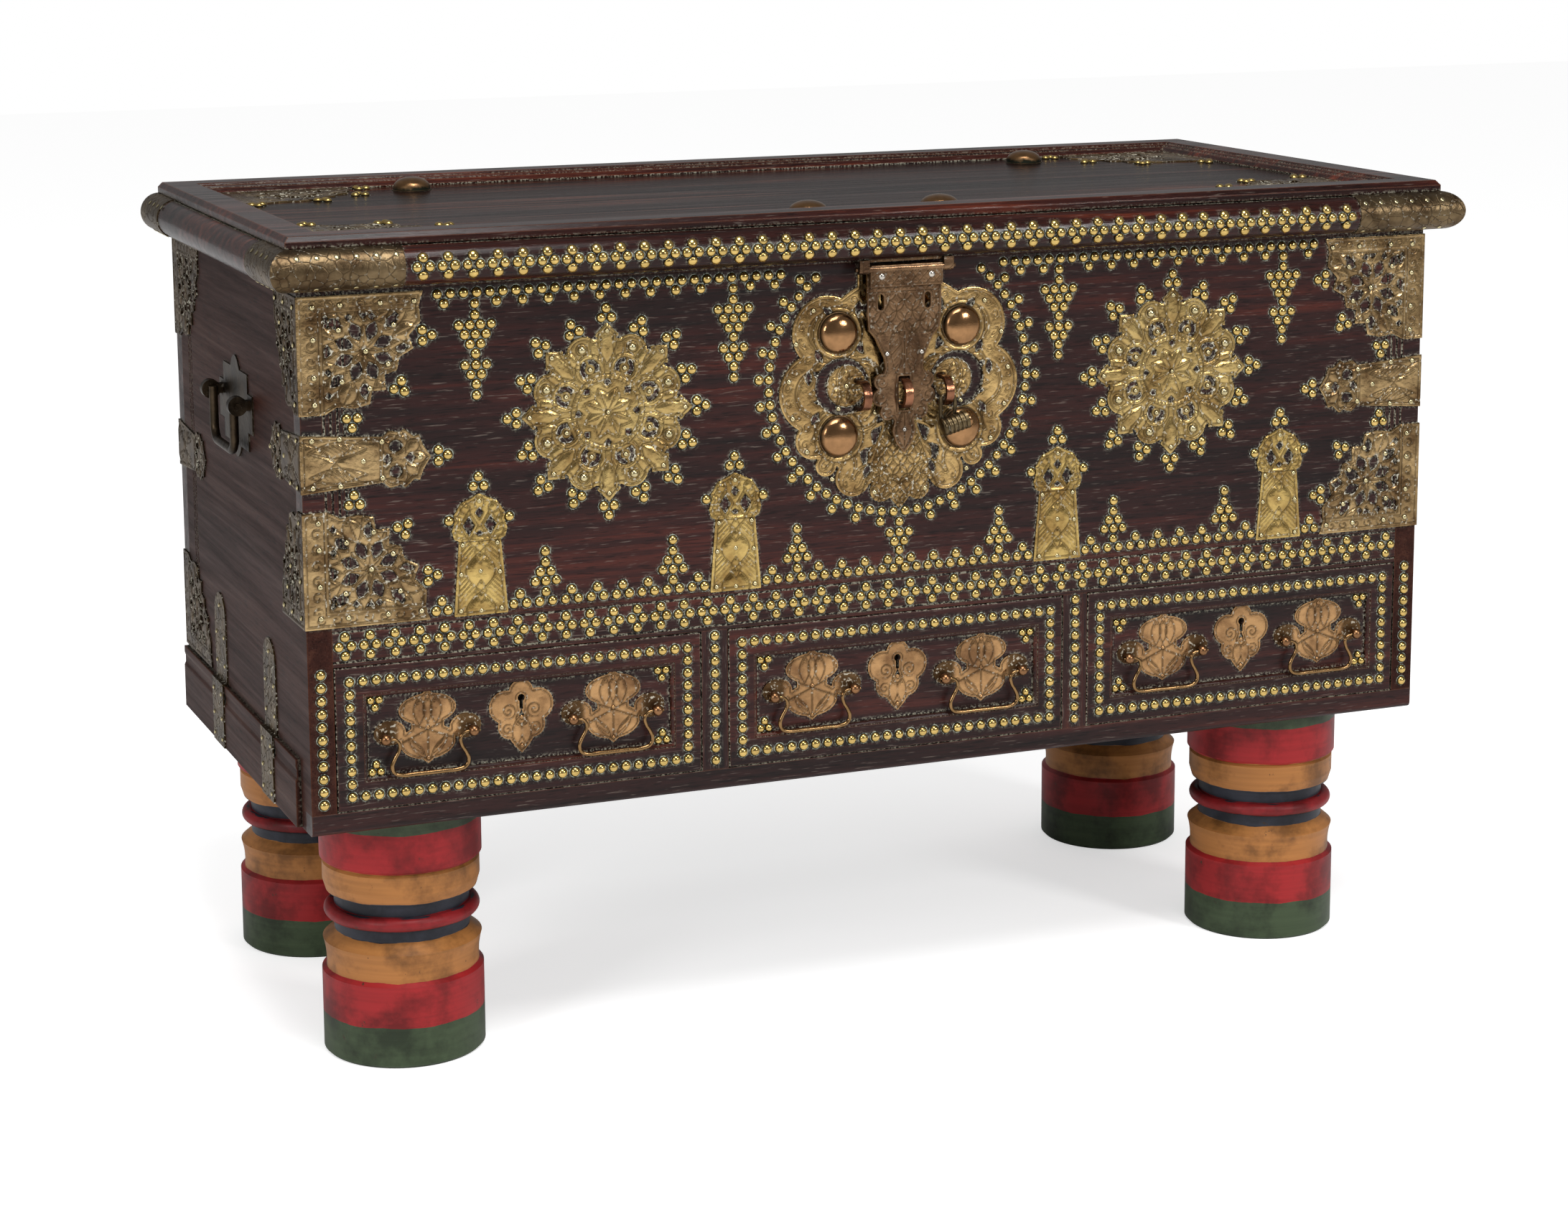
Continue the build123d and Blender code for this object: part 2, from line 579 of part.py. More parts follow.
def strap_leaf(u, v, length, height):
    """Sketch of a strap centred on v, from u to its pointed tip."""
    upper = [(u + length * a, v + height / 2 * b) for a, b in STRAP_EDGE]
    Polygon(*upper + [(p, 2 * v - q) for p, q in reversed(upper[:-1])], align=None)


upper_plate_v = z_top - CORNER_PLATE_DROP
strap_v = (upper_plate_v + z_panel) / 2
strap_length = CORNER_PLATE_W + STRAP_REACH

# Front corner plates: each wraps the corner, one leaf on the front and one on the side
with BuildPart() as front_corner_plates:
    for v, way in ((upper_plate_v, -1), (z_panel, 1)):
        with BuildSketch(FRONT):
            corner_leaf(-half_w - PLATE, v, CORNER_PLATE_W + PLATE, way * CORNER_PLATE_H)
        extrude(amount=PLATE)
        with BuildSketch(SIDE):
            corner_leaf(-PLATE, v, SIDE_PLATE_W + PLATE, way * CORNER_PLATE_H)
        extrude(amount=-PLATE)
    mirror(about=Plane.YZ)
front_corner_plates.part.label = "front_corner_plates"
export_step(front_corner_plates.part, "parts/front_corner_plates.step")

with BuildPart() as front_corner_straps:
    with BuildSketch(FRONT):
        strap_leaf(-half_w - PLATE, strap_v, strap_length + PLATE, STRAP_H)
    extrude(amount=PLATE)
    with BuildSketch(SIDE):
        strap_leaf(-PLATE, strap_v, SIDE_PLATE_W + SIDE_STRAP_MORE + PLATE, STRAP_H)
    extrude(amount=-PLATE)
    mirror(about=Plane.YZ)
front_corner_straps.part.label = "front_corner_straps"
export_step(front_corner_straps.part, "parts/front_corner_straps.step")

# Rear corner plates and straps: a leaf on the side, and a plain flange round the back
rear_lower_v = z_bottom + BASE_MOULD_H + REAR_PLATE_GAP
rear_upper_v = z_top - CORNER_PLATE_DROP
rear_strap_v = (rear_lower_v + rear_upper_v) / 2
with BuildPart() as rear_corner_plates:
    for v, way in ((rear_upper_v, -1), (rear_lower_v, 1)):
        with BuildSketch(SIDE):
            corner_leaf(CARCASE_DEPTH + PLATE, v, -REAR_PLATE_W - PLATE, way * REAR_PLATE_H)
        extrude(amount=-PLATE)
        with BuildSketch(BACK):
            corner_leaf(half_w + PLATE, v, -REAR_WRAP - PLATE, way * REAR_PLATE_H)
        extrude(amount=PLATE)
    with BuildSketch(SIDE):
        strap_leaf(CARCASE_DEPTH + PLATE, rear_strap_v, -REAR_PLATE_W - STRAP_REACH - PLATE, REAR_STRAP_H)
    extrude(amount=-PLATE)
    with BuildSketch(BACK):
        strap_leaf(half_w + PLATE, rear_strap_v, -REAR_WRAP - PLATE, REAR_STRAP_H)
    extrude(amount=PLATE)
    mirror(about=Plane.YZ)
rear_corner_plates.part.label = "rear_corner_plates"
export_step(rear_corner_plates.part, "parts/rear_corner_plates.step")

# Base straps: from the side board down over the base moulding to the foot of the carcase
base_strap_places = (BASE_STRAP_FRONT, CARCASE_DEPTH - BASE_STRAP_BACK)
with BuildPart() as base_straps:
    for y in base_strap_places:
        with BuildSketch(Plane(origin=(-half_w, front_y + y - BASE_STRAP_W / 2, z_bottom), x_dir=(-1, 0, 0),
                               z_dir=(0, 1, 0))):
            Polygon((0, BASE_MOULD_H), (BASE_MOULD_T, BASE_MOULD_H), (BASE_MOULD_T, 0),
                    (BASE_MOULD_T + PLATE, 0), (BASE_MOULD_T + PLATE, BASE_MOULD_H + PLATE),
                    (0, BASE_MOULD_H + PLATE), align=None)
        extrude(amount=BASE_STRAP_W)
    head_v = z_bottom + BASE_MOULD_H + BASE_STRAP_RISE - BASE_STRAP_W / 2
    with BuildSketch(SIDE):
        for y in base_strap_places:
            with Locations((y, (z_bottom + BASE_MOULD_H + head_v) / 2)):
                Rectangle(BASE_STRAP_W, head_v - z_bottom - BASE_MOULD_H)
            with Locations((y, head_v)):
                Circle(BASE_STRAP_W / 2)
    extrude(amount=-PLATE)
    mirror(about=Plane.YZ)
base_straps.part.label = "base_straps"
export_step(base_straps.part, "parts/base_straps.step")

# --- Side handles: a plate with two eyes, which the bails hang from ---------------------------
handle_z = z_top - HANDLE_DROP
handle_y = front_y + HANDLE_Y
with BuildPart() as left_handle_plate:
    with BuildSketch(SIDE):
        with Locations((HANDLE_Y, handle_z - HANDLE_PLATE_H / 8)):
            Rectangle(HANDLE_PLATE_L - HANDLE_PLATE_H / 2, HANDLE_PLATE_H)
            Rectangle(HANDLE_PLATE_L, HANDLE_PLATE_H / 2)
            Ellipse(HANDLE_PLATE_L / 5, HANDLE_PLATE_H * 2 / 3)
    extrude(amount=-PLATE)
    for way in (-1, 1):
        with BuildSketch(Plane(origin=(-half_w - HANDLE_OUT, handle_y + way * HANDLE_POST_Y - HANDLE_EYE_W / 2,
                                       handle_z), x_dir=(-1, 0, 0), z_dir=(0, 1, 0))):
            Circle(HANDLE_EYE_R)
            with Locations((-(HANDLE_OUT - PLATE) / 2, 0)):
                Rectangle(HANDLE_OUT - PLATE, HANDLE_EYE_R)
            Circle(HANDLE_PIN_R + RUN_CLEAR, mode=Mode.SUBTRACT)
        extrude(amount=HANDLE_EYE_W)
left_handle_plate.part.label = "left_handle_plate"
export_step(left_handle_plate.part, "parts/left_handle_plate.step")

with BuildPart() as right_handle_plate:
    add(left_handle_plate.part.mirror(Plane.YZ))
right_handle_plate.part.label = "right_handle_plate"
export_step(right_handle_plate.part, "parts/right_handle_plate.step")

with BuildPart() as left_side_bail:
    bail_out = Plane(origin=(-half_w - HANDLE_OUT, handle_y, handle_z), x_dir=(0, 1, 0), z_dir=(1, 0, 0))
    with BuildLine(bail_out) as handle_path:
        FilletPolyline((-HANDLE_LEG_Y, HANDLE_WIRE_R), (-HANDLE_LEG_Y, -HANDLE_DROP_H),
                       (HANDLE_LEG_Y, -HANDLE_DROP_H), (HANDLE_LEG_Y, HANDLE_WIRE_R),
                       radius=HANDLE_CORNER_R)
    with BuildSketch(Plane(origin=handle_path.line @ 0, z_dir=handle_path.line % 0)):
        Circle(HANDLE_WIRE_R)
    sweep(path=handle_path.line)
    pin_end = HANDLE_POST_Y + HANDLE_EYE_W / 2 + HANDLE_PIN_END
    for way in (-1, 1):
        with BuildSketch(Plane(origin=(-half_w - HANDLE_OUT, handle_y + way * HANDLE_LEG_Y, handle_z),
                               x_dir=(1, 0, 0), z_dir=(0, way, 0))):
            Circle(HANDLE_PIN_R)
        extrude(amount=pin_end - HANDLE_LEG_Y)
left_side_bail.part.label = "left_side_bail"
export_step(left_side_bail.part, "parts/left_side_bail.step")

with BuildPart() as right_side_bail:
    add(left_side_bail.part.mirror(Plane.YZ))
right_side_bail.part.label = "right_side_bail"
export_step(right_side_bail.part, "parts/right_side_bail.step")

# --- Lock plate, its bosses, and the staples --------------------------------------------------
# Lobes of the lock plate as shares of its half width: centre from the plate's middle, and radius
LOCK_LOBES = [(0.605, 0.403, 0.279), (0.682, -0.054, 0.31), (0.713, -0.411, 0.147), (0.612, -0.612, 0.085),
              (0.388, -0.721, 0.147), (0.155, -0.837, 0.093)]
LOCK_BODY = 0.814        # round body inside the lobes
LOCK_TIP = (0.17, 0.8, 0.996)     # pointed foot: half width, and where it starts and ends
lock_shoulder = STAPLE_X + LOCK_SHOULDER
lock_top = z_top - TOP_ROW_DROP + LOCK_TOP_RISE
with BuildPart() as lock_plate:
    with BuildSketch(FRONT):
        with Locations((0, lock_z)):
            Circle(LOCK_HALF_W * LOCK_BODY)
        for u, v, r in LOCK_LOBES:
            with Locations(*[(way * LOCK_HALF_W * u, lock_z + LOCK_HALF_W * v) for way in (1, -1)]):
                Circle(LOCK_HALF_W * r)
        tip_half, tip_start, tip_end = [LOCK_HALF_W * share for share in LOCK_TIP]
        Polygon((-tip_half, lock_z - tip_start), (tip_half, lock_z - tip_start), (0, lock_z - tip_end),
                align=None)
        with Locations((0, (lock_z + lock_top) / 2)):
            Rectangle(2 * lock_shoulder, lock_top - lock_z)
        with Locations(*leg_places):
            Rectangle(STAPLE_W + 2 * SLOT_CLEAR, STAPLE_BAND + 2 * SLOT_CLEAR, mode=Mode.SUBTRACT)
    extrude(amount=PLATE)
lock_plate.part.label = "lock_plate"
export_step(lock_plate.part, "parts/lock_plate.step")

with BuildPart(FRONT) as lock_bosses:
    boss_places = [(LOCK_BOSS_X, lock_z + way * LOCK_BOSS_Z) for way in (1, -1)]
    with Locations(*raised(both_sides(boss_places), PLATE)):
        add(boss)
lock_bosses.part.label = "lock_bosses"
export_step(lock_bosses.part, "parts/lock_bosses.step")

# Staples: flat bands bent to a U, with their legs driven through the board
with BuildPart() as staples:
    for x in (-STAPLE_X, 0, STAPLE_X):
        with BuildSketch(Plane(origin=(x, front_y - STAPLE_OUT, staple_z), x_dir=(0, 1, 0),
                               z_dir=(1, 0, 0))):
            Circle(STAPLE_R)
            with Locations(((STAPLE_OUT + BOARD) / 2, 0)):
                Rectangle(STAPLE_OUT + BOARD, 2 * STAPLE_R)
            Circle(STAPLE_R - STAPLE_BAND, mode=Mode.SUBTRACT)
            with Locations(((STAPLE_OUT + BOARD) / 2, 0)):
                Rectangle(STAPLE_OUT + BOARD, 2 * (STAPLE_R - STAPLE_BAND), mode=Mode.SUBTRACT)
        extrude(amount=STAPLE_W / 2, both=True)
staples.part.label = "staples"
export_step(staples.part, "parts/staples.step")

# Hanging lock: a barrel on a wire loop through the right staple
with BuildPart() as hanging_lock:
    crown_z = staple_z - LOCK_LOOP_RISE
    barrel_z = crown_z - LOCK_DROP
    with BuildLine() as loop_path:
        FilletPolyline((STAPLE_X - LOCK_LOOP_HALF, front_y - LOCK_WIRE_OUT, barrel_z - LOCK_WIRE_R),
                       (STAPLE_X - LOCK_LOOP_HALF, front_y - LOCK_WIRE_OUT, crown_z),
                       (STAPLE_X + LOCK_LOOP_HALF, front_y - LOCK_WIRE_OUT, crown_z),
                       (STAPLE_X + LOCK_LOOP_HALF, front_y - LOCK_WIRE_OUT, barrel_z - LOCK_WIRE_R),
                       radius=LOCK_WIRE_BEND)
    with BuildSketch(Plane(origin=loop_path.line @ 0, z_dir=loop_path.line % 0)):
        Circle(LOCK_WIRE_R)
    sweep(path=loop_path.line)
    tilt = radians(LOCK_TILT)
    barrel_axis = Plane(origin=(STAPLE_X + LOCK_BARREL_SHIFT, front_y - LOCK_WIRE_OUT - LOCK_BARREL_FORWARD,
                                barrel_z), x_dir=(0, 1, 0), z_dir=(cos(tilt), 0, sin(tilt)))
    with BuildSketch(barrel_axis):
        Circle(LOCK_BARREL_R)
    extrude(amount=LOCK_BARREL_L / 2, both=True)
hanging_lock.part.label = "hanging_lock"
export_step(hanging_lock.part, "parts/hanging_lock.step")


# --- Rosettes and minaret plates --------------------------------------------------------------
def rosette(u, v):
    """Sketch of a rosette with eight lobes and eight tips round (u, v)."""
    with Locations((u, v)):
        Circle(ROSETTE_BODY_R)
        with PolarLocations(ROSETTE_LOBE_R - ROSETTE_LOBE_W / 2, 8, start_angle=22.5):
            Circle(ROSETTE_LOBE_W / 2)
        with PolarLocations(ROSETTE_TIP_R - ROSETTE_TIP_W / 2, 8):
            RegularPolygon(ROSETTE_TIP_W / 2, 4)


with BuildPart() as rosettes:
    with BuildSketch(FRONT):
        rosette(-rosette_x, rosette_z)
        rosette(rosette_x, rosette_z)
    extrude(amount=PLATE)
rosettes.part.label = "rosettes"
export_step(rosettes.part, "parts/rosettes.step")

# Right edge of a minaret plate, as shares of its width and height from the foot of its middle,
# and how far up the waist of its head is
MINARET_EDGE = [(0.5, 0.0), (0.387, 0.618), (0.472, 0.635), (0.51, 0.704), (0.453, 0.79), (0.48, 0.825),
                (0.34, 0.927), (0.0, 1.0)]
MINARET_WAIST = 0.79
minaret_x = [way * x for x in (pendant_inner_x, pendant_outer_x) for way in (-1, 1)]
with BuildPart() as minaret_plates:
    with BuildSketch(FRONT):
        for x in minaret_x:
            right = [(x + MINARET_W * a, z_panel + MINARET_H * b) for a, b in MINARET_EDGE]
            Polygon(*right + [(2 * x - u, v) for u, v in reversed(right[:-1])], align=None)
    extrude(amount=PLATE)
minaret_plates.part.label = "minaret_plates"
export_step(minaret_plates.part, "parts/minaret_plates.step")

# --- Studs on the front -----------------------------------------------------------------------
top_v = z_top - TOP_ROW_DROP
low_v = z_panel + LOWER_ROW_RISE
plate_edge_x = corner_plate_x - STUD_D / 2 - STUD_PLATE_GAP
ring_rx = LOCK_HALF_W + LOCK_RING_GAP
ring_rz = ring_rx - LOCK_RING_SQUASH
ring_z = lock_z + LOCK_RING_RISE

# Ring of studs round the lock plate, with a second one outside every other stud
ring_count = 2 * round(pi * (ring_rx + ring_rz) / 2 / row_pitch)
lock_ring = []
for i in range(ring_count):
    a = 2 * pi * (i + 0.5) / ring_count
    u, v = ring_rx * cos(a), ring_z + ring_rz * sin(a)
    if v < top_v - STUD_PLATE_GAP:
        lock_ring.append((u, v))
        if i % 2:
            second = STUD_D + LOCK_RING_SPACE
            lock_ring.append((u + second * cos(a), v + second * sin(a)))
lock_ring = [(u, v) for u, v in lock_ring if v < top_v]
ring_top_x = min(abs(u) for u, v in lock_ring if v > lock_z + LOCK_HALF_W / 2)

# Top rows and lower rows, with a stud under or over every other gap
top_row_start = ring_top_x + 2 * stud_step + TOP_ROW_GAP
top_rows = row((plate_edge_x - TOP_ROW_END, top_v), (top_row_start, top_v), row_pitch)
top_rows += [(u - row_pitch / 2, top_v - stud_rise) for u, v in top_rows[:-1:2]]
lower_rows = []
minaret_clear = MINARET_W / 2 + STUD_D / 2 + STUD_PLATE_GAP
row_breaks = (0.0, pendant_inner_x, pendant_outer_x, plate_edge_x)
for start, end in zip(row_breaks, row_breaks[1:]):
    start += minaret_clear if start else row_pitch / 2
    end -= minaret_clear if end < plate_edge_x else 0.0
    points = row((start, low_v), (end, low_v), row_pitch)
    lower_rows += points
    lower_rows += [((a[0] + b[0]) / 2, low_v + stud_rise) for a, b in zip(points[:-1:2], points[1::2])]

# Hanging pendants, and spires over the lower row
pendants = []
for x in (pendant_inner_x, pendant_outer_x):
    pendants += tiers((1, 1, 4, 3, 2, 1, 3, 2, 1, 1), x, top_v - stud_step, -1)
spires = tiers((1, 3, 2, 1, 1), 0.0, ring_z - ring_rz - stud_step, -1)
spire_places = (pendant_inner_x - SPIRE_LOCK_X, (pendant_inner_x + rosette_x) / 2,
                (rosette_x + pendant_outer_x) / 2)
for x in spire_places:
    spires += tiers((1, 3, 2, 1, 1), x, low_v + stud_rise, 1)

# Studs round each rosette, minaret plate and corner plate
rosette_studs = []
for k in range(16):
    turn = radians(22.5 * k)
    base_r = ROSETTE_LOBE_R + ROSETTE_STUD_GAP if k % 2 else ROSETTE_TIP_R - ROSETTE_STUD_SET
    base_r += STUD_D / 2
    for along, across in ((base_r, -stud_step / 2), (base_r, stud_step / 2), (base_r + stud_rise, 0)):
        rosette_studs.append((rosette_x + along * cos(turn) - across * sin(turn),
                              rosette_z + along * sin(turn) + across * cos(turn)))

minaret_studs = []
for x in (pendant_inner_x, pendant_outer_x):
    minaret_studs += tiers((2, 1), x, z_panel + MINARET_H + STUD_D / 2 + MINARET_STUD_GAP, 1)
    minaret_studs += [(x + way * MINARET_STUD_X, z_panel + MINARET_WAIST * MINARET_H) for way in (-1, 1)]

# Trios beside a corner plate, as shares of its width and height from its free corner, and the
# angle in degrees that each one points to
CORNER_TRIOS = [(-0.015, 0.62, 180), (0.2, 0.195, 225), (0.59, -0.07, 270)]
plate_trios = []
for u, v, angle in CORNER_TRIOS:
    from_edge = corner_plate_x + CORNER_PLATE_W * u
    plate_trios += trio(from_edge, upper_plate_v - CORNER_PLATE_H * (1 - v), angle)
    plate_trios += trio(from_edge, z_panel + CORNER_PLATE_H * (1 - v), -angle)
plate_trios += trio(half_w - strap_length - stud_step, strap_v, 180)

# Band of diamonds along the upper rail, and columns down the posts and the end stiles
rail_studs = diamonds(-inner_half_w, inner_half_w, z_rail + RAIL_HEIGHT / 2 + RAIL_BAND_RISE, rail_pitch)
column_top = z_rail - STUD_D / 2 - STUD_PLATE_GAP
columns = row((post_x, column_top), (post_x, z_drawer + STUD_D), row_pitch)
columns += row((half_w - BOARD / 2, column_top), (half_w - BOARD / 2, z_drawer + STUD_D), row_pitch)

front_places = spaced(both_sides(rosette_studs + pendants + minaret_studs + plate_trios + spires)
                      + lock_ring + both_sides(top_rows + lower_rows + columns) + rail_studs)
with BuildPart(FRONT) as front_studs:
    with Locations(*raised(front_places, 0)):
        add(stud)
front_studs.part.label = "front_studs"
export_step(front_studs.part, "parts/front_studs.step")

# --- Rear hinges: straps with knuckles, and the pin fast in the lower strap --------------------
hinge_y = back_y + HINGE_OUT


def knuckle_plane(x):
    """Plane across a hinge at x, with its local x towards the back."""
    return Plane(origin=(x, hinge_y, z_top), x_dir=(0, 1, 0), z_dir=(1, 0, 0))


outer_knuckle = (HINGE_W - LID_KNUCKLE_W) / 2 - RUN_CLEAR
with BuildPart() as back_hinge_straps:
    notch = LID_KNUCKLE_W / 2 + RUN_CLEAR
    notch_foot = z_top - KNUCKLE_R - KNUCKLE_CLEAR
    with BuildSketch(BACK):
        Polygon((-HINGE_X - HINGE_W / 2, z_top), (-HINGE_X - notch, z_top), (-HINGE_X - notch, notch_foot),
                (-HINGE_X + notch, notch_foot),
                (-HINGE_X + notch, z_top), (-HINGE_X + HINGE_W / 2, z_top),
                (-HINGE_X + HINGE_W / 2, z_top - HINGE_LENGTH + HINGE_W / 2), (-HINGE_X, z_top - HINGE_LENGTH),
                (-HINGE_X - HINGE_W / 2, z_top - HINGE_LENGTH + HINGE_W / 2), align=None)
    extrude(amount=HINGE_T)
    for x in (HINGE_X - HINGE_W / 2, HINGE_X + HINGE_W / 2 - outer_knuckle):
        with BuildSketch(knuckle_plane(x)):
            Circle(KNUCKLE_R)
        extrude(amount=outer_knuckle)
    with BuildSketch(knuckle_plane(HINGE_X - HINGE_W / 2)):
        Circle(HINGE_PIN_R)
    extrude(amount=HINGE_W)
    mirror(about=Plane.YZ)
back_hinge_straps.part.label = "back_hinge_straps"
export_step(back_hinge_straps.part, "parts/back_hinge_straps.step")

with BuildPart() as lid_hinge_straps:
    with BuildSketch(BACK):
        with Locations((-HINGE_X, z_top + (LID_STRAP_H + KNUCKLE_R + KNUCKLE_CLEAR) / 2)):
            Rectangle(HINGE_W, LID_STRAP_H - KNUCKLE_R - KNUCKLE_CLEAR)
        with Locations((-HINGE_X, z_top + KNUCKLE_R / 2 + KNUCKLE_CLEAR)):
            Rectangle(LID_KNUCKLE_W, KNUCKLE_R + 2 * KNUCKLE_CLEAR)
    extrude(amount=HINGE_T)
    with BuildSketch(knuckle_plane(HINGE_X - LID_KNUCKLE_W / 2)):
        Circle(KNUCKLE_R)
        with Locations((-HINGE_OUT / 2, KNUCKLE_R / 2)):
            Rectangle(HINGE_OUT, KNUCKLE_R)
        Circle(HINGE_BORE_R, mode=Mode.SUBTRACT)
    extrude(amount=LID_KNUCKLE_W)
    mirror(about=Plane.YZ)
lid_hinge_straps.part.label = "lid_hinge_straps"
export_step(lid_hinge_straps.part, "parts/lid_hinge_straps.step")

# --- Lid --------------------------------------------------------------------------------------
middle_y = (front_y + back_y) / 2
with BuildPart() as lid_board:
    with BuildSketch(Plane.XY.offset(z_board)):
        with Locations((0, middle_y)):
            Rectangle(2 * half_w, CARCASE_DEPTH)
    extrude(amount=LID_BOARD)
lid_board.part.label = "lid_board"
export_step(lid_board.part, "parts/lid_board.step")

# Rim battens under the lid board, over the carcase's four boards
with BuildPart() as lid_rim:
    with BuildSketch(Plane.XY.offset(z_top)):
        with Locations((0, middle_y)):
            Rectangle(2 * half_w, CARCASE_DEPTH)
            Rectangle(2 * (half_w - LID_RIM_W), CARCASE_DEPTH - 2 * LID_RIM_W, mode=Mode.SUBTRACT)
    extrude(amount=LID_RIM_H)
lid_rim.part.label = "lid_rim"
export_step(lid_rim.part, "parts/lid_rim.step")

# Half-round moulding along the front and both sides of the lid, mitred at the corners
nose_r = EDGE_H / 2
nose_out = LID_OVERHANG - nose_r
nose_z = z_lid - EDGE_DROP - nose_r


def nose_profile(grow=0.0):
    """Sketch of the moulding's section: local x points outwards, local y up."""
    with Locations((nose_out, 0)):
        Circle(nose_r + grow)
    with Locations((nose_out / 2, 0)):
        Rectangle(nose_out, EDGE_H + 2 * grow)
    with Locations((-nose_r, 0)):
        Rectangle(2 * nose_r, 2 * EDGE_H, mode=Mode.SUBTRACT)


def edge_path(points):
    """Line along the lid's upper edge through points of (x, y from the front face)."""
    return Polyline(*[(x, front_y + y, nose_z) for x, y in points])


moulding_end = CARCASE_DEPTH + CAP_REACH - SLEEVE
left_start = Plane(origin=(-half_w, front_y + moulding_end, nose_z), x_dir=(-1, 0, 0), z_dir=(0, -1, 0))
with BuildPart() as lid_edge_mouldings:
    with BuildLine() as edge_line:
        edge_path([(-half_w, moulding_end), (-half_w, 0), (half_w, 0), (half_w, moulding_end)])
    with BuildSketch(left_start):
        nose_profile()
    sweep(path=edge_line.line, transition=Transition.RIGHT)
lid_edge_mouldings.part.label = "lid_edge_mouldings"
export_step(lid_edge_mouldings.part, "parts/lid_edge_mouldings.step")

# Brass sleeves round the moulding at the front corners, and caps on its rear ends
with BuildPart() as lid_edge_sleeves:
    side_end = SLEEVE_SIDE - LID_OVERHANG
    with BuildLine() as sleeve_line:
        edge_path([(-half_w, side_end), (-half_w, 0), (-half_w - LID_OVERHANG + SLEEVE_FRONT, 0)])
    with BuildSketch(Plane(origin=(-half_w, front_y + side_end, nose_z), x_dir=(-1, 0, 0), z_dir=(0, -1, 0))):
        nose_profile(SLEEVE)
        with Locations((nose_out, 0)):
            Circle(nose_r, mode=Mode.SUBTRACT)
        with Locations((nose_out / 2, 0)):
            Rectangle(nose_out, EDGE_H, mode=Mode.SUBTRACT)
    sweep(path=sleeve_line.line, transition=Transition.RIGHT)
    cap_start = CARCASE_DEPTH + CAP_REACH - CAP_LENGTH
    with BuildSketch(Plane(origin=(-half_w, front_y + cap_start, nose_z), x_dir=(-1, 0, 0), z_dir=(0, 1, 0))):
        nose_profile(SLEEVE)
    extrude(amount=CAP_LENGTH)
    with BuildSketch(Plane(origin=(-half_w, front_y + cap_start, nose_z), x_dir=(-1, 0, 0), z_dir=(0, 1, 0))):
        nose_profile()
    extrude(amount=CAP_LENGTH - SLEEVE, mode=Mode.SUBTRACT)
    mirror(about=Plane.YZ)
lid_edge_sleeves.part.label = "lid_edge_sleeves"
export_step(lid_edge_sleeves.part, "parts/lid_edge_sleeves.step")

# Raised frame round the lid's top, standing a little over the moulding. Its section, as shares
# of its width and height from its outer foot, steps down inwards.
FRAME_SECTION = [(0, 0), (0, 0.545), (0.08, 1), (0.68, 1), (0.72, 0.77), (0.8, 0.77), (0.84, 0.545),
                 (0.92, 0.545), (1, 0.18), (1, 0)]
frame_x = half_w + FRAME_OVERHANG
frame_front = front_y - FRAME_OVERHANG
frame_back = back_y + FRAME_OVERHANG
with BuildPart() as lid_top_frame:
    with BuildLine() as frame_line:
        Polyline((0, frame_back, z_lid), (-frame_x, frame_back, z_lid), (-frame_x, frame_front, z_lid),
                 (frame_x, frame_front, z_lid), (frame_x, frame_back, z_lid), (0, frame_back, z_lid))
    with BuildSketch(Plane(origin=(0, frame_back, z_lid), x_dir=(0, -1, 0), z_dir=(-1, 0, 0))):
        Polygon(*[(FRAME_W * a, FRAME_T * b) for a, b in FRAME_SECTION], align=None)
    sweep(path=frame_line.line, transition=Transition.RIGHT)
lid_top_frame.part.label = "lid_top_frame"
export_step(lid_top_frame.part, "parts/lid_top_frame.step")

# Brass plates in the lid's four corners, inside the frame, and bosses between them
inside_x = frame_x - FRAME_W
inside_front = FRAME_W - FRAME_OVERHANG
inside_back = CARCASE_DEPTH - FRAME_W + FRAME_OVERHANG
with BuildPart() as lid_top_plates:
    with BuildSketch(TOP):
        for way in (-1, 1):
            corner_leaf(way * inside_x, inside_front, -way * LID_PLATE_X, LID_PLATE_Y)
            corner_leaf(way * inside_x, inside_back, -way * LID_PLATE_X, -LID_PLATE_Y)
    extrude(amount=PLATE)
lid_top_plates.part.label = "lid_top_plates"
export_step(lid_top_plates.part, "parts/lid_top_plates.step")

with BuildPart(TOP) as lid_bosses:
    with Locations(*raised(both_sides([(LID_BOSS_X, inside_back - LID_BACK_BOSS_INSET),
                                       (LID_FRONT_BOSS_X, inside_front + LID_FRONT_BOSS_INSET)]), 0)):
        add(lid_boss)
lid_bosses.part.label = "lid_bosses"
export_step(lid_bosses.part, "parts/lid_bosses.step")

# Studs in clusters round the lid plates, and in diamonds along the front moulding
# Trios round a lid plate, as shares of its size from its corner, and the angle in degrees
LID_TRIOS = [(1.09, 0.1, 180), (0.97, 0.62, 150), (0.62, 0.98, 120), (0.1, 1.13, 90)]
lid_top_studs = tiers((3, 2, 1), 0.0, inside_front + STUD_D, 1)
for u, v, angle in LID_TRIOS:
    for base, way in ((inside_front, 1), (inside_back, -1)):
        lid_top_studs += both_sides(trio(inside_x - LID_PLATE_X * u, base + way * LID_PLATE_Y * v, way * angle))
nose_end = half_w + LID_OVERHANG - SLEEVE_FRONT - STUD_D / 2
nose_count = round(2 * nose_end / rail_pitch)
nose_pitch = 2 * nose_end / nose_count
nose_places = []
for i in range(nose_count):
    x = nose_pitch * (i + 0.5 - nose_count / 2)
    nose_places += [(x - nose_pitch / 4, 0), (x + nose_pitch / 4, 0), (x, NOSE_STUD_TURN), (x, -NOSE_STUD_TURN)]


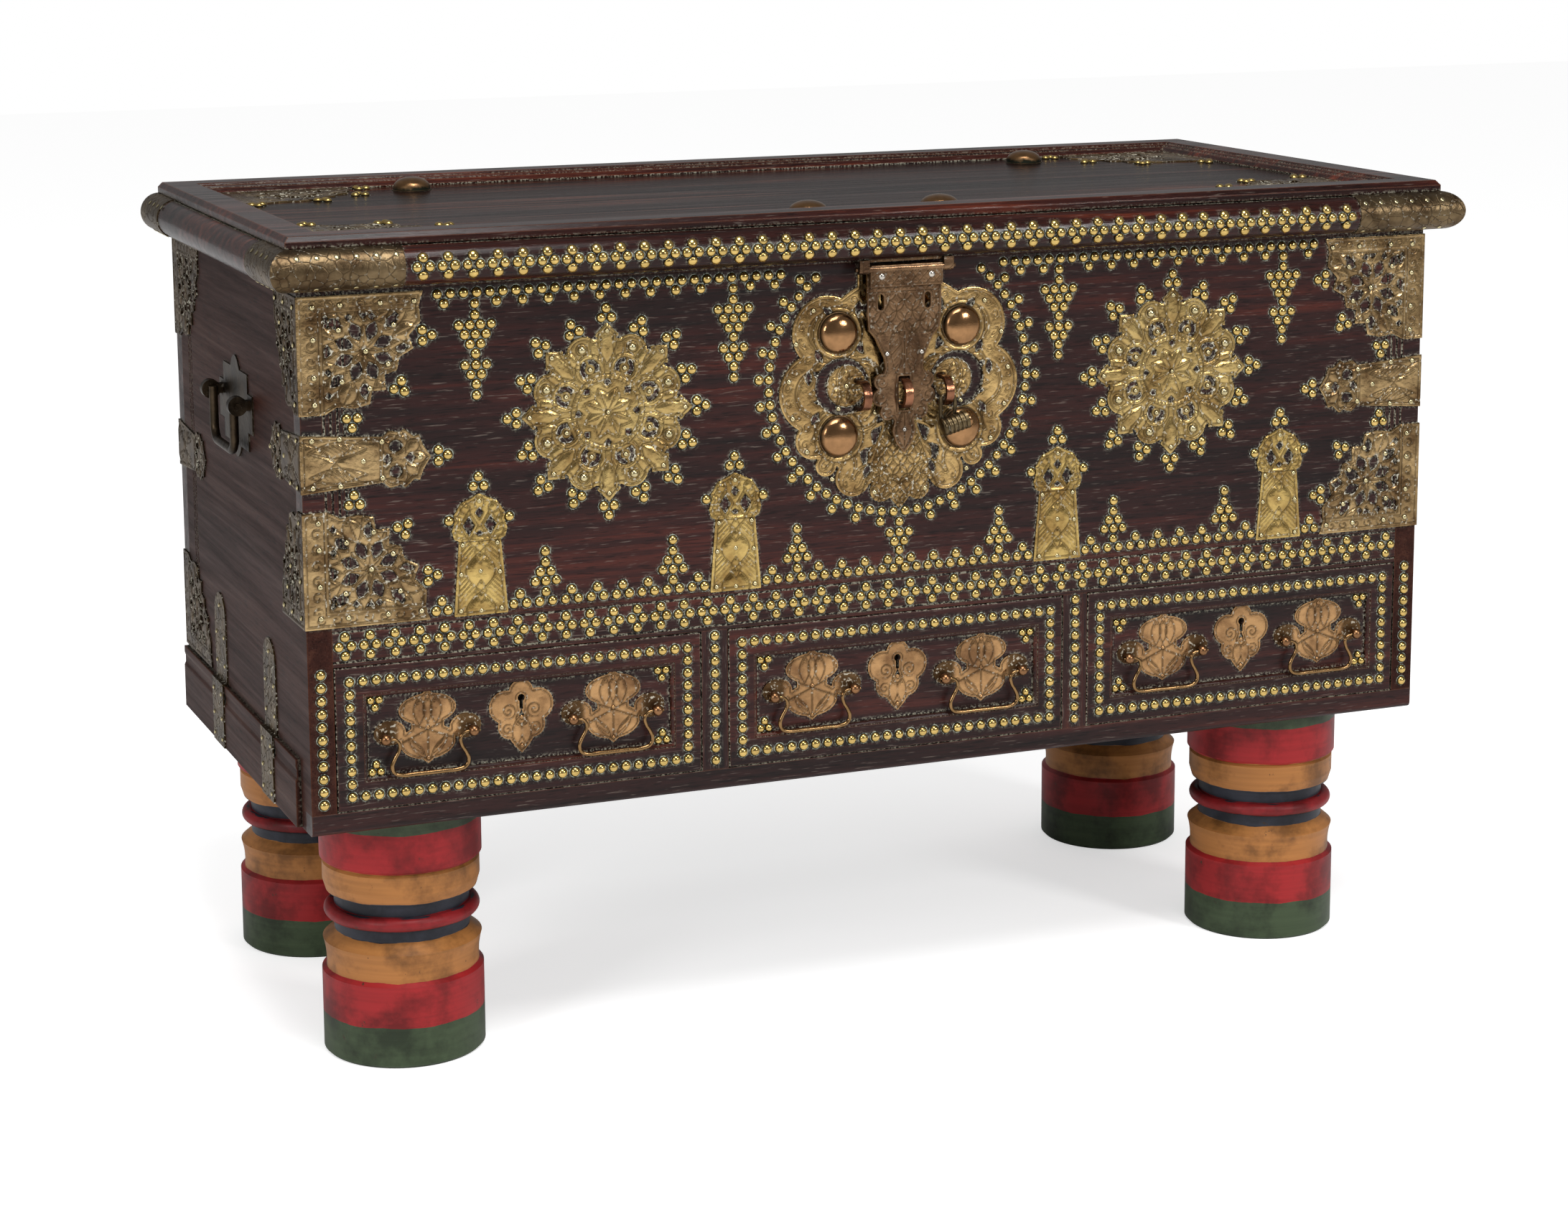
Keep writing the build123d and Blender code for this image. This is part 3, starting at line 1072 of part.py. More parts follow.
def nose_location(x, angle):
    """Where a stud sits on the round of the front moulding, at an angle up from level."""
    a = radians(angle)
    centre = (x, front_y - nose_out - nose_r * cos(a), nose_z + nose_r * sin(a))
    return Plane(origin=centre, x_dir=(1, 0, 0), z_dir=(0, -cos(a), sin(a))).location


with BuildPart() as lid_studs:
    with Locations(*[TOP.location * Location((u, v, 0)) for u, v in spaced(lid_top_studs)]):
        add(stud)
    with Locations(*[nose_location(x, angle) for x, angle in nose_places]):
        add(stud)
lid_studs.part.label = "lid_studs"
export_step(lid_studs.part, "parts/lid_studs.step")

# --- Hasp and its leaf under the lid's front moulding ------------------------------------------
leaf_under = z_lid - EDGE_DROP - EDGE_H
hasp_pin_y = front_y - HASP_PIN_OUT
with BuildPart() as hasp_leaf:
    with BuildSketch(Plane(origin=(0, hasp_pin_y, 0), x_dir=(1, 0, 0), z_dir=(0, 0, 1)).offset(leaf_under)):
        with Locations((0, (HASP_PIN_OUT - KNUCKLE_CLEAR) / 2)):
            Rectangle(HASP_LEAF_W, HASP_PIN_OUT - KNUCKLE_CLEAR)
    extrude(amount=-HASP_LEAF_T)
    leaf_knuckle = (HASP_LEAF_W - HASP_TOP_W) / 2 - RUN_CLEAR
    for x in (-HASP_LEAF_W / 2, HASP_LEAF_W / 2 - leaf_knuckle):
        with BuildSketch(Plane(origin=(x, hasp_pin_y, hasp_pin_z), x_dir=(0, 1, 0), z_dir=(1, 0, 0))):
            Circle(HASP_KNUCKLE_R)
            with Locations((0, (leaf_under - hasp_pin_z) / 2)):
                Rectangle(2 * HASP_KNUCKLE_R, leaf_under - hasp_pin_z)
        extrude(amount=leaf_knuckle)
    with BuildSketch(Plane(origin=(-HASP_PIN_W / 2, hasp_pin_y, hasp_pin_z), x_dir=(0, 1, 0),
                           z_dir=(1, 0, 0))):
        Circle(HASP_PIN_R)
    extrude(amount=HASP_PIN_W)
hasp_leaf.part.label = "hasp_leaf"
export_step(hasp_leaf.part, "parts/hasp_leaf.step")

# Right edge of the hasp from its pin down to its tip: across in millimetres, and down as a share
# of the hasp's length
half_top = HASP_TOP_W / 2
half_waist = HASP_WAIST_W / 2
hasp_edge = [(half_top, 0), (half_top, -0.235),
             (half_top - 1.5, -0.328), (half_top - 8.5, -0.372), (half_waist, -0.486),
             (half_waist - 1, -0.541), (half_waist + 2, -0.58), (half_waist + 3, -0.7), (10, -0.825),
             (12.5, -0.88), (8, -0.95), (0, -1.0)]
# Scrolled lobes round its lower part: across, down as a share of its length, and radius
HASP_LOBES = [(24.0, 0.61, 8.0), (25.0, 0.695, 8.5), (17.5, 0.775, 8.0)]
hasp_right = [(u, hasp_pin_z + HASP_LENGTH * v) for u, v in hasp_edge]
with BuildPart() as hasp:
    with BuildSketch(FRONT.offset(HASP_OFF)):
        Polygon(*hasp_right + [(-u, v) for u, v in reversed(hasp_right[:-1])], align=None)
        for across, down, r in HASP_LOBES:
            with Locations(*[(way * across, hasp_pin_z - HASP_LENGTH * down) for way in (-1, 1)]):
                Circle(r)
        with Locations((0, staple_z)):
            Rectangle(STAPLE_W + 2 * HASP_SLOT_CLEAR, 2 * STAPLE_R + 2 * HASP_SLOT_CLEAR, mode=Mode.SUBTRACT)
        with Locations(*[(way * HASP_EYE_X, hasp_pin_z - HASP_EYE_DROP) for way in (-1, 1)]):
            SlotOverall(HASP_EYE_L, HASP_EYE_W, rotation=90, mode=Mode.SUBTRACT)
    extrude(amount=HASP_T)
    with BuildSketch(Plane(origin=(-HASP_TOP_W / 2, hasp_pin_y, hasp_pin_z), x_dir=(0, 1, 0),
                           z_dir=(1, 0, 0))):
        Circle(HASP_KNUCKLE_R)
    extrude(amount=HASP_TOP_W)
    with BuildSketch(Plane(origin=(-HASP_TOP_W / 2, hasp_pin_y, hasp_pin_z), x_dir=(0, 1, 0),
                           z_dir=(1, 0, 0))):
        Circle(HASP_PIN_R + RUN_CLEAR)
    extrude(amount=HASP_TOP_W, mode=Mode.SUBTRACT)
hasp.part.label = "hasp"
export_step(hasp.part, "parts/hasp.step")

# --- Drawers ----------------------------------------------------------------------------------
panel_out = -DRAWER_PANEL_IN
bail_z = drawer_z + drawer_h / 2 - BAIL_AXIS_DROP
bail_y = front_y + DRAWER_PANEL_IN - BAIL_OUT
drawer_places = {"left": -drawer_pitch, "middle": 0.0, "right": drawer_pitch}


def drawer_front(x):
    """A drawer front with its panel sunk inside a frame, and a keyhole."""
    with BuildPart() as made:
        with BuildSketch(FRONT):
            with Locations((x, drawer_z + drawer_h / 2)):
                Rectangle(drawer_w, drawer_h)
        extrude(amount=-DRAWER_FRONT)
        chamfer(made.faces().sort_by(Axis.Y)[0].edges(), DRAWER_BREAK)
        with BuildSketch(FRONT):
            with Locations((x, drawer_z + drawer_h / 2)):
                Rectangle(drawer_w - 2 * DRAWER_FRAME, drawer_h - 2 * DRAWER_FRAME)
        extrude(amount=-DRAWER_PANEL_IN, mode=Mode.SUBTRACT)
        with BuildSketch(FRONT.offset(panel_out)):
            with Locations((x, drawer_z + drawer_h / 2 + ESCUTCHEON_RISE + ESCUTCHEON_H / 4)):
                Circle(KEYHOLE_R)
                with Locations((0, -KEYHOLE_R - KEYHOLE_TAIL / 2)):
                    Rectangle(KEYHOLE_R, 2 * KEYHOLE_R + KEYHOLE_TAIL)
        extrude(amount=-KEYHOLE_DEPTH, mode=Mode.SUBTRACT)
    return made


def drawer_box(x):
    """The box behind a drawer front: two sides, a back and a bottom."""
    with BuildPart() as made:
        box_front = front_y + DRAWER_FRONT
        box_middle = box_front + DRAWER_BOX_L / 2
        with BuildSketch(Plane.XY.offset(drawer_z)):
            with Locations((x, box_middle)):
                Rectangle(drawer_w, DRAWER_BOX_L)
                Rectangle(drawer_w - 2 * DRAWER_SIDE, DRAWER_BOX_L, mode=Mode.SUBTRACT)
        extrude(amount=DRAWER_SIDE_H)
        with BuildSketch(Plane.XY.offset(drawer_z + DRAWER_BOTTOM_RISE)):
            with Locations((x, box_middle)):
                Rectangle(drawer_w - 2 * DRAWER_SIDE, DRAWER_BOX_L)
        extrude(amount=DRAWER_BOTTOM)
        with BuildSketch(Plane.XY.offset(drawer_z + DRAWER_BOTTOM_RISE)):
            with Locations((x, box_front + DRAWER_BOX_L - DRAWER_SIDE / 2)):
                Rectangle(drawer_w - 2 * DRAWER_SIDE, DRAWER_SIDE)
        extrude(amount=DRAWER_SIDE_H - DRAWER_BOTTOM_RISE)
    return made


def drawer_studs(x):
    """Studs round a drawer's frame, and small ones in the panel's corners."""
    reach_u = drawer_w / 2 - DRAWER_STUD_INSET
    reach_v = drawer_h / 2 - DRAWER_STUD_INSET
    middle = drawer_z + drawer_h / 2
    corners = [(reach_u, reach_v), (-reach_u, reach_v), (-reach_u, -reach_v), (reach_u, -reach_v)]
    ring = []
    for start, end in zip(corners, corners[1:] + corners[:1]):
        ring += row(start, end, row_pitch)[:-1]
    panel_u = drawer_w / 2 - DRAWER_FRAME - PANEL_TRIO_INSET
    panel_v = drawer_h / 2 - DRAWER_FRAME - PANEL_TRIO_DROP
    small = []
    for way in (-1, 1):
        small += trio(way * panel_u, panel_v, -90, PANEL_STUD_D + PANEL_STUD_SPACE)
        small += trio(way * panel_u, -panel_v, 90, PANEL_STUD_D + PANEL_STUD_SPACE)
    with BuildPart(FRONT) as made:
        with Locations(*[(x + u, middle + v, 0) for u, v in ring]):
            add(stud)
        with Locations(*[(x + u, middle + v, panel_out) for u, v in small]):
            add(panel_stud)
    return made


# A turned post with a ball on its end, bored across for the bail
with BuildPart() as bail_post:
    ball_foot = BAIL_OUT - sqrt(BAIL_POST_R ** 2 - BAIL_STEM_R ** 2)
    with BuildSketch(Plane.XZ):
        with BuildLine():
            Polyline((0, 0), (BAIL_STEM_R, 0), (BAIL_STEM_R, ball_foot))
            ThreePointArc((BAIL_STEM_R, ball_foot), (BAIL_POST_R, BAIL_OUT), (0, BAIL_OUT + BAIL_POST_R))
            Line((0, BAIL_OUT + BAIL_POST_R), (0, 0))
        make_face()
    revolve(axis=Axis.Z)
    with BuildSketch(Plane(origin=(-BAIL_POST_R - 1, 0, BAIL_OUT), x_dir=(0, 1, 0), z_dir=(1, 0, 0))):
        Circle(BAIL_BORE_R)
    extrude(amount=2 * BAIL_POST_R + 2, mode=Mode.SUBTRACT)


# Rounds of a bail plate from the middle of its bail's axis: middle, half width and half height.
# Then where its pointed tips start and end.
BAIL_PLATE_ROUNDS = [(0, 24, 28, 15), (0, -8, 27, 17), (-37, 4, 15.5, 12), (37, 4, 15.5, 12)]
BAIL_PLATE_TIPS = [(36, 43), (-22, -29)]


def drawer_plates(x):
    """Two bail plates with their bored posts, and the escutcheon round the keyhole."""
    with BuildPart(FRONT) as made:
        middle = drawer_z + drawer_h / 2 + ESCUTCHEON_RISE
        with BuildSketch(FRONT.offset(panel_out)):
            for bail_x in (x - BAIL_X, x + BAIL_X):
                for u, v, half_u, half_v in BAIL_PLATE_ROUNDS:
                    with Locations((bail_x + u, bail_z + v)):
                        Ellipse(half_u, half_v)
                with Locations((bail_x, bail_z + BAIL_PLATE_RISE)):
                    Rectangle(BAIL_WAIST_W, BAIL_WAIST_H)
                for start, end in BAIL_PLATE_TIPS:
                    tip = ((-BAIL_TIP_HALF, start), (BAIL_TIP_HALF, start), (0, end))
                    Polygon(*[(bail_x + u, bail_z + v) for u, v in tip], align=None)
            with Locations((x, middle)):
                with Locations((0, ESCUTCHEON_H / 3), (0, -ESCUTCHEON_H / 4)):
                    Circle(ESCUTCHEON_H / 6)
                with Locations((-ESCUTCHEON_W / 4, ESCUTCHEON_H / 7), (ESCUTCHEON_W / 4, ESCUTCHEON_H / 7)):
                    Circle(ESCUTCHEON_W / 4)
                with Locations((-ESCUTCHEON_W / 6, -ESCUTCHEON_H / 8), (ESCUTCHEON_W / 6, -ESCUTCHEON_H / 8)):
                    Circle(ESCUTCHEON_W / 5)
                Polygon((-ESCUTCHEON_W / 8, -ESCUTCHEON_H / 2.6), (ESCUTCHEON_W / 8, -ESCUTCHEON_H / 2.6),
                        (0, -ESCUTCHEON_H / 2), align=None)
            with Locations((x, middle + ESCUTCHEON_H / 4)):
                Circle(KEYHOLE_R, mode=Mode.SUBTRACT)
                with Locations((0, -KEYHOLE_R - KEYHOLE_TAIL / 2)):
                    Rectangle(KEYHOLE_R, 2 * KEYHOLE_R + KEYHOLE_TAIL, mode=Mode.SUBTRACT)
        extrude(amount=PLATE)
        with Locations(*[(x + side * BAIL_X + way * BAIL_POST_X, bail_z, panel_out)
                         for side in (-1, 1) for way in (-1, 1)]):
            add(bail_post)
    return made


def drawer_bail(x):
    """A wire bail with its ends turned outwards through the posts."""
    with BuildPart() as made:
        hang = Plane(origin=(x, bail_y, bail_z), x_dir=(1, 0, 0), z_dir=(0, -1, 0))
        end = BAIL_POST_X + BAIL_POST_R + BAIL_END
        with BuildLine(hang) as path:
            FilletPolyline((-end, 0), (-BAIL_NECK_X, 0), (-BAIL_FOOT_X, -BAIL_DROP), (BAIL_FOOT_X, -BAIL_DROP),
                           (BAIL_NECK_X, 0), (end, 0), radius=BAIL_BEND_R)
        with BuildSketch(Plane(origin=path.line @ 0, z_dir=path.line % 0)):
            Circle(BAIL_WIRE_R)
        sweep(path=path.line)
    return made


drawer_pieces = {}
for drawer_name, x in drawer_places.items():
    drawer_pieces[f"{drawer_name}_drawer_front"] = drawer_front(x)
    drawer_pieces[f"{drawer_name}_drawer_box"] = drawer_box(x)
    drawer_pieces[f"{drawer_name}_drawer_studs"] = drawer_studs(x)
    drawer_pieces[f"{drawer_name}_drawer_plates"] = drawer_plates(x)
    drawer_pieces[f"{drawer_name}_drawer_left_bail"] = drawer_bail(x - BAIL_X)
    drawer_pieces[f"{drawer_name}_drawer_right_bail"] = drawer_bail(x + BAIL_X)

for label, made in drawer_pieces.items():
    made.part.label = label
    export_step(made.part, f"parts/{label}.step")
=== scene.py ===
import json
import math
import random
import bmesh
import bpy
import numpy as np
from mathutils import Matrix, Vector

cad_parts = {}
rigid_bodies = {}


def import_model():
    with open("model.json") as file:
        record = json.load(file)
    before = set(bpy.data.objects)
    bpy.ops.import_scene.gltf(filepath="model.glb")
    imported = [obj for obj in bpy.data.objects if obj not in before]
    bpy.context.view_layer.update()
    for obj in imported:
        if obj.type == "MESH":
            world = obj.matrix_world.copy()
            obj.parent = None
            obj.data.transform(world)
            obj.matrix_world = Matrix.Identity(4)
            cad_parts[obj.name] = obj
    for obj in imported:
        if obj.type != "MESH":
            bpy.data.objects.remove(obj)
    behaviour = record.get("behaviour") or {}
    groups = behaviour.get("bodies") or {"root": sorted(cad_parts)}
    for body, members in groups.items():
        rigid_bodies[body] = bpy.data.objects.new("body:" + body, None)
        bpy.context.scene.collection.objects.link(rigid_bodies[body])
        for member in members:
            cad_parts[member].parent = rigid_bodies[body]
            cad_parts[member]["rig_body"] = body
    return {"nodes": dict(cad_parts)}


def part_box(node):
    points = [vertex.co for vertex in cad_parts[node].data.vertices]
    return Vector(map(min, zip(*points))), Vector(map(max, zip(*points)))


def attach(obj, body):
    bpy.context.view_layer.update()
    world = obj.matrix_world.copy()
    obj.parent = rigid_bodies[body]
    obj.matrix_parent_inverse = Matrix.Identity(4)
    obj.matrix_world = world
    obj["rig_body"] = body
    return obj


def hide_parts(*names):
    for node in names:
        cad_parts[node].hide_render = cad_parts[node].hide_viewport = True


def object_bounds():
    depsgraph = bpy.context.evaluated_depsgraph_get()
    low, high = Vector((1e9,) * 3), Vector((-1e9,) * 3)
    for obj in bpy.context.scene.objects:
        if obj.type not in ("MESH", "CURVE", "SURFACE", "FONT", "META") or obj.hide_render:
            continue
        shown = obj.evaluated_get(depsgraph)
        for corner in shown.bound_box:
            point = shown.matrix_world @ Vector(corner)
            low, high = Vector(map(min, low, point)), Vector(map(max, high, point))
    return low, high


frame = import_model()
cad_low, cad_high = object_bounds()
nodes = frame["nodes"]

# --- Studio --------------------------------------------------------------------------------------
# The chest stands on a plain white floor under a soft overhead light, with weaker ones from the
# left and the right front. The camera looks a little down at the front's left half.
camera = bpy.data.objects.new("camera", bpy.data.cameras.new("camera"))
bpy.context.scene.collection.objects.link(camera)
bpy.context.scene.camera = camera
camera.data.lens = 74.77
camera.data.shift_y = -0.12
camera_turn, camera_dip, camera_roll = 0.3891, 0.1727, -0.0051
camera.location = (-1.3021, -3.1325, 1.158)
sight = Vector((math.sin(camera_turn) * math.cos(camera_dip),
                math.cos(camera_turn) * math.cos(camera_dip), -math.sin(camera_dip)))
camera_roll = Matrix.Rotation(camera_roll, 4, "Z").to_quaternion()
camera.rotation_mode = "QUATERNION"
camera.rotation_quaternion = sight.to_track_quat("-Z", "Y") @ camera_roll


def linear(colour):
    """An sRGB hex colour as the linear values that a shader takes."""
    parts = [int(colour[i:i + 2], 16) / 255 for i in (1, 3, 5)]
    return [c / 12.92 if c <= 0.04045 else ((c + 0.055) / 1.055) ** 2.4 for c in parts] + [1.0]


def add_node(tree, kind, inputs=None, output=0, **settings):
    """Adds a node and gives one of its outputs. Inputs are values, or other outputs to link."""
    made = tree.nodes.new(f"ShaderNode{kind}")
    for key, value in settings.items():
        setattr(made, key, value)
    for key, value in (inputs or {}).items():
        if isinstance(value, bpy.types.NodeSocket):
            tree.links.new(value, made.inputs[key])
        else:
            made.inputs[key].default_value = value
    return made.outputs[output] if made.outputs else None


def lamp(name, place, aim, size, watts):
    """A soft square light."""
    made = bpy.data.objects.new(name, bpy.data.lights.new(name, "AREA"))
    made.data.size = size
    made.data.energy = watts
    made.location = place
    made.rotation_euler = (Vector(aim) - Vector(place)).to_track_quat("-Z", "Y").to_euler()
    bpy.context.scene.collection.objects.link(made)


lamp("overhead", (-0.3, -1.6, 3.6), (0, 0, 0.5), 1.7, 92)
lamp("left", (-3.4, -2.2, 1.9), (0, 0, 0.45), 1.0, 44)
lamp("front", (1.9, -3.6, 2.2), (0, 0, 0.6), 0.8, 52)
bpy.context.scene.view_settings.view_transform = "Standard"

world = bpy.data.worlds.new("studio")
bpy.context.scene.world = world
world.use_nodes = True
tree = world.node_tree
tree.nodes.clear()
rays = add_node(tree, "LightPath").node.outputs
seen = add_node(tree, "Math", {0: rays["Is Camera Ray"], 1: rays["Is Transmission Ray"]}, operation="MAXIMUM")
dim = add_node(tree, "MapRange", {0: rays["Is Glossy Ray"], 3: 0.5, 4: 0.24})
room = add_node(tree, "Background", {"Color": linear("#ffffff"), "Strength": dim})
white = add_node(tree, "Background", {"Color": linear("#ffffff"), "Strength": 1.0})
add_node(tree, "OutputWorld", {"Surface": add_node(tree, "MixShader", {0: seen, 1: room, 2: white})})


def new_material(name):
    """An empty material and its node tree."""
    made = bpy.data.materials.new(name)
    made.use_nodes = True
    made.node_tree.nodes.clear()
    return made, made.node_tree


bm = bmesh.new()
bmesh.ops.create_grid(bm, x_segments=1, y_segments=1, size=12.0)
floor = bpy.data.objects.new("floor", bpy.data.meshes.new("floor"))
bm.to_mesh(floor.data)
bm.free()
bpy.context.scene.collection.objects.link(floor)
paper, tree = new_material("white_paper")
rays = add_node(tree, "LightPath").node.outputs
glow = add_node(tree, "Math", {0: rays["Is Camera Ray"], 1: 0.52}, operation="MULTIPLY")
matt = add_node(tree, "BsdfDiffuse", {"Color": linear("#f2f2f2")})
lit = add_node(tree, "Emission", {"Color": linear("#ffffff"), "Strength": glow})
add_node(tree, "OutputMaterial", {"Surface": add_node(tree, "AddShader", {0: matt, 1: lit})})
floor.data.materials.append(paper)

# --- Carcase boards -------------------------------------------------------------------------------
# Wide planks of rosewood, planed and rubbed with oil: near black, with red-brown lights along
# a fine straight grain, and pale polish left in the corners of whatever is nailed to them.


def remap(tree, value, low, high, at_low=0.0, at_high=1.0):
    """Carries a value from one range to another, and holds it at both ends."""
    return add_node(tree, "MapRange", {0: value, 1: low, 2: high, 3: at_low, 4: at_high})


def calc(tree, operation, *values):
    """Works out one sum of values."""
    return add_node(tree, "Math", dict(enumerate(values)), operation=operation)


def noise(tree, places, scale, detail, **more):
    """Cloudy noise from 0 to 1."""
    return add_node(tree, "TexNoise", {"Vector": places, "Scale": scale, "Detail": detail, **more})


def mix(tree, share, first, second, blend="MIX"):
    """Blends two colours, each a hex string or an output."""
    first, second = (linear(c) if isinstance(c, str) else c for c in (first, second))
    return add_node(tree, "Mix", {0: share, 6: first, 7: second}, 2, data_type="RGBA", blend_type=blend)


def bump(tree, height, distance, strength, **more):
    """A normal that follows a height."""
    return add_node(tree, "Bump", {"Height": height, "Distance": distance, "Strength": strength, **more})


def finish_surface(tree, colour, roughness, normal, more):
    """Ends a material's tree with its surface."""
    inputs = {"Base Color": colour, "Roughness": roughness, "Normal": normal, **more}
    add_node(tree, "OutputMaterial", {"Surface": add_node(tree, "BsdfPrincipled", inputs)})


def rosewood(name, along, dark, middle, light, shine, wear=0.35, residue=0.5, gloss=0.15):
    """Oiled rosewood whose grain runs along an axis (0 for X, 1 for Y, 2 for Z)."""
    made, tree = new_material(name)
    places = add_node(tree, "TexCoord", output="Object")

    def drawn_out(across, lengthwise):
        """Places scaled one way across the grain and another along it."""
        scale = [across] * 3
        scale[along] = lengthwise
        return add_node(tree, "Mapping", {"Vector": places, "Scale": scale})

    # Grain lines about 3 mm apart that drift along the board, under broad clouds
    figure = noise(tree, drawn_out(70.0, 2.2), 1.3, 6.0, Roughness=0.62, Distortion=0.5)
    cloud = noise(tree, drawn_out(9.0, 1.6), 1.0, 4.0)
    tones = calc(tree, "MULTIPLY_ADD", cloud, 0.38, calc(tree, "MULTIPLY", figure, 0.62))
    tones = add_node(tree, "ValToRGB", {0: tones})
    ramp = tones.node.color_ramp
    ramp.elements[0].position = 0.38
    ramp.elements[0].color = linear(dark)
    ramp.elements[1].position = 0.7
    ramp.elements[1].color = linear(light)
    ramp.elements.new(0.53).color = linear(middle)
    # Pores: dashes a few millimetres long and under a millimetre wide
    pores = noise(tree, drawn_out(620.0, 48.0), 1.0, 2.0)
    body = mix(tree, 1.0, tones, remap(tree, pores, 0.34, 0.42, 0.45), "MULTIPLY")
    # Pale polish dried in some of the pores
    body = mix(tree, remap(tree, pores, 0.64, 0.72, 0.0, 0.3 * residue), body, "#8f8378")
    # Edges rubbed lighter
    rounded = add_node(tree, "Bevel", {"Radius": 0.0022}, samples=4)
    true = add_node(tree, "NewGeometry", output="Normal")
    turn = add_node(tree, "VectorMath", {0: rounded, 1: true}, "Value", operation="DOT_PRODUCT")
    worn = mix(tree, remap(tree, turn, 0.99, 0.8, 0.0, wear), body, "#7a4a33")
    # Painted shade in the corners, darkened from ambient occlusion, and a pale crust of old polish there
    near = add_node(tree, "AmbientOcclusion", {"Distance": 0.0045}, "AO", samples=6)
    close = remap(tree, near, 0.9, 0.55)
    painted_corner_shade = mix(tree, close, worn, "#0d0a09")
    crust = remap(tree, noise(tree, places, 420.0, 2.0), 0.48, 0.6, 0.0, residue)
    crusted = mix(tree, calc(tree, "MULTIPLY", crust, close), painted_corner_shade, "#c9c4ae")
    rough = remap(tree, figure, 0.3, 0.7, shine + 0.1, shine - 0.05)
    relief = bump(tree, calc(tree, "MULTIPLY_ADD", pores, 0.6, figure), 0.0005, 0.45, Normal=rounded)
    finish_surface(tree, crusted, rough, relief, {"IOR": 1.5, "Specular IOR Level": gloss})
    return made


def finish_node(name, material):
    """Gives a CAD node its finish."""
    slots = nodes[name].data.materials
    if not slots:
        slots.append(material)
    for i in range(len(slots)):
        slots[i] = material


front_wood = rosewood("oiled_rosewood_front", 0, "#180e0d", "#2b1412", "#50231a", 0.32,
                      residue=0.75, gloss=0.2)
side_wood = rosewood("oiled_rosewood_sides", 1, "#25130f", "#341c16", "#452a1f", 0.45,
                     residue=0.2, gloss=0.06)
upright_wood = rosewood("oiled_rosewood_uprights", 2, "#130b0a", "#27110f", "#4c2116", 0.36,
                        residue=0.75, gloss=0.22)
for name in ("front_board", "front_rails", "back_board", "lid_rim", "chest_floor", "bottom_board"):
    finish_node(name, front_wood)
for name in ("left_side_board", "right_side_board", "base_mouldings"):
    finish_node(name, side_wood)
finish_node("drawer_dividers", upright_wood)

# --- Lid ------------------------------------------------------------------------------------------
# The lid's top is a waxed board inside a raised moulded frame, rubbed through to orange-brown
# in long streaks. The half-round moulding round its edge shines from handling.
lid_wood = rosewood("waxed_rosewood_lid", 0, "#0e0807", "#22100c", "#6a3018", 0.2, residue=0.3, gloss=0.05)
rail_wood = rosewood("rubbed_rosewood_moulding", 0, "#110a09", "#2c120e", "#622a19", 0.17,
                     wear=0.75, residue=0.6, gloss=0.2)
finish_node("lid_board", lid_wood)
finish_node("lid_edge_mouldings", rail_wood)
finish_node("lid_top_frame", rail_wood)

# --- Feet -----------------------------------------------------------------------------------------
# Turned feet painted in bands of green, red, ochre and slate. The paint is old distemper:
# matt, a little streaked by the lathe, and chipped to the wood at the edges.
foot_paint, tree = new_material("old_distemper_on_turned_wood")
places = add_node(tree, "TexCoord", output="Object")
height = add_node(tree, "SeparateXYZ", {0: places}, "Z")
height = calc(tree, "MULTIPLY_ADD", noise(tree, places, 35.0, 3.0), 0.004, height)
foot_top = 0.254
bands = add_node(tree, "ValToRGB", {0: remap(tree, height, 0.002, foot_top + 0.002)})
ramp = bands.node.color_ramp
ramp.interpolation = "CONSTANT"
# Where each band starts, in metres from the floor
band_edges = [(0.0, "#3a4731"), (0.040, "#8f1f21"), (0.085, "#a06a38"), (0.123, "#2b2d36"),
              (0.136, "#7f1c1f"), (0.148, "#2b2d36"), (0.163, "#a06a38"), (0.194, "#951f22"),
              (0.234, "#414d37")]
ramp.elements[0].color = linear(band_edges[0][1])
ramp.elements[1].position = band_edges[-1][0] / foot_top
ramp.elements[1].color = linear(band_edges[-1][1])
for start, colour in band_edges[1:-1]:
    ramp.elements.new(start / foot_top).color = linear(colour)
streaks = add_node(tree, "Mapping", {"Vector": places, "Scale": (9.0, 9.0, 260.0)})
streaks = noise(tree, streaks, 1.0, 4.0)
# Sooty patches, some 60 mm across
soot = remap(tree, noise(tree, places, 17.0, 5.0, Roughness=0.65), 0.38, 0.56, 0.45, 1.05)
shade = calc(tree, "MULTIPLY", remap(tree, streaks, 0.3, 0.7, 0.86, 1.08), soot)
painted = mix(tree, 1.0, bands, shade, "MULTIPLY")
chip = remap(tree, noise(tree, places, 60.0, 6.0, Roughness=0.7), 0.66, 0.7)
finish_surface(tree, mix(tree, chip, painted, "#3a2a20"), 0.45, bump(tree, streaks, 0.0004, 0.3),
               {"IOR": 1.5, "Specular IOR Level": 0.25})
for name in ("front_left_foot", "front_right_foot", "rear_left_foot", "rear_right_foot"):
    finish_node(name, foot_paint)
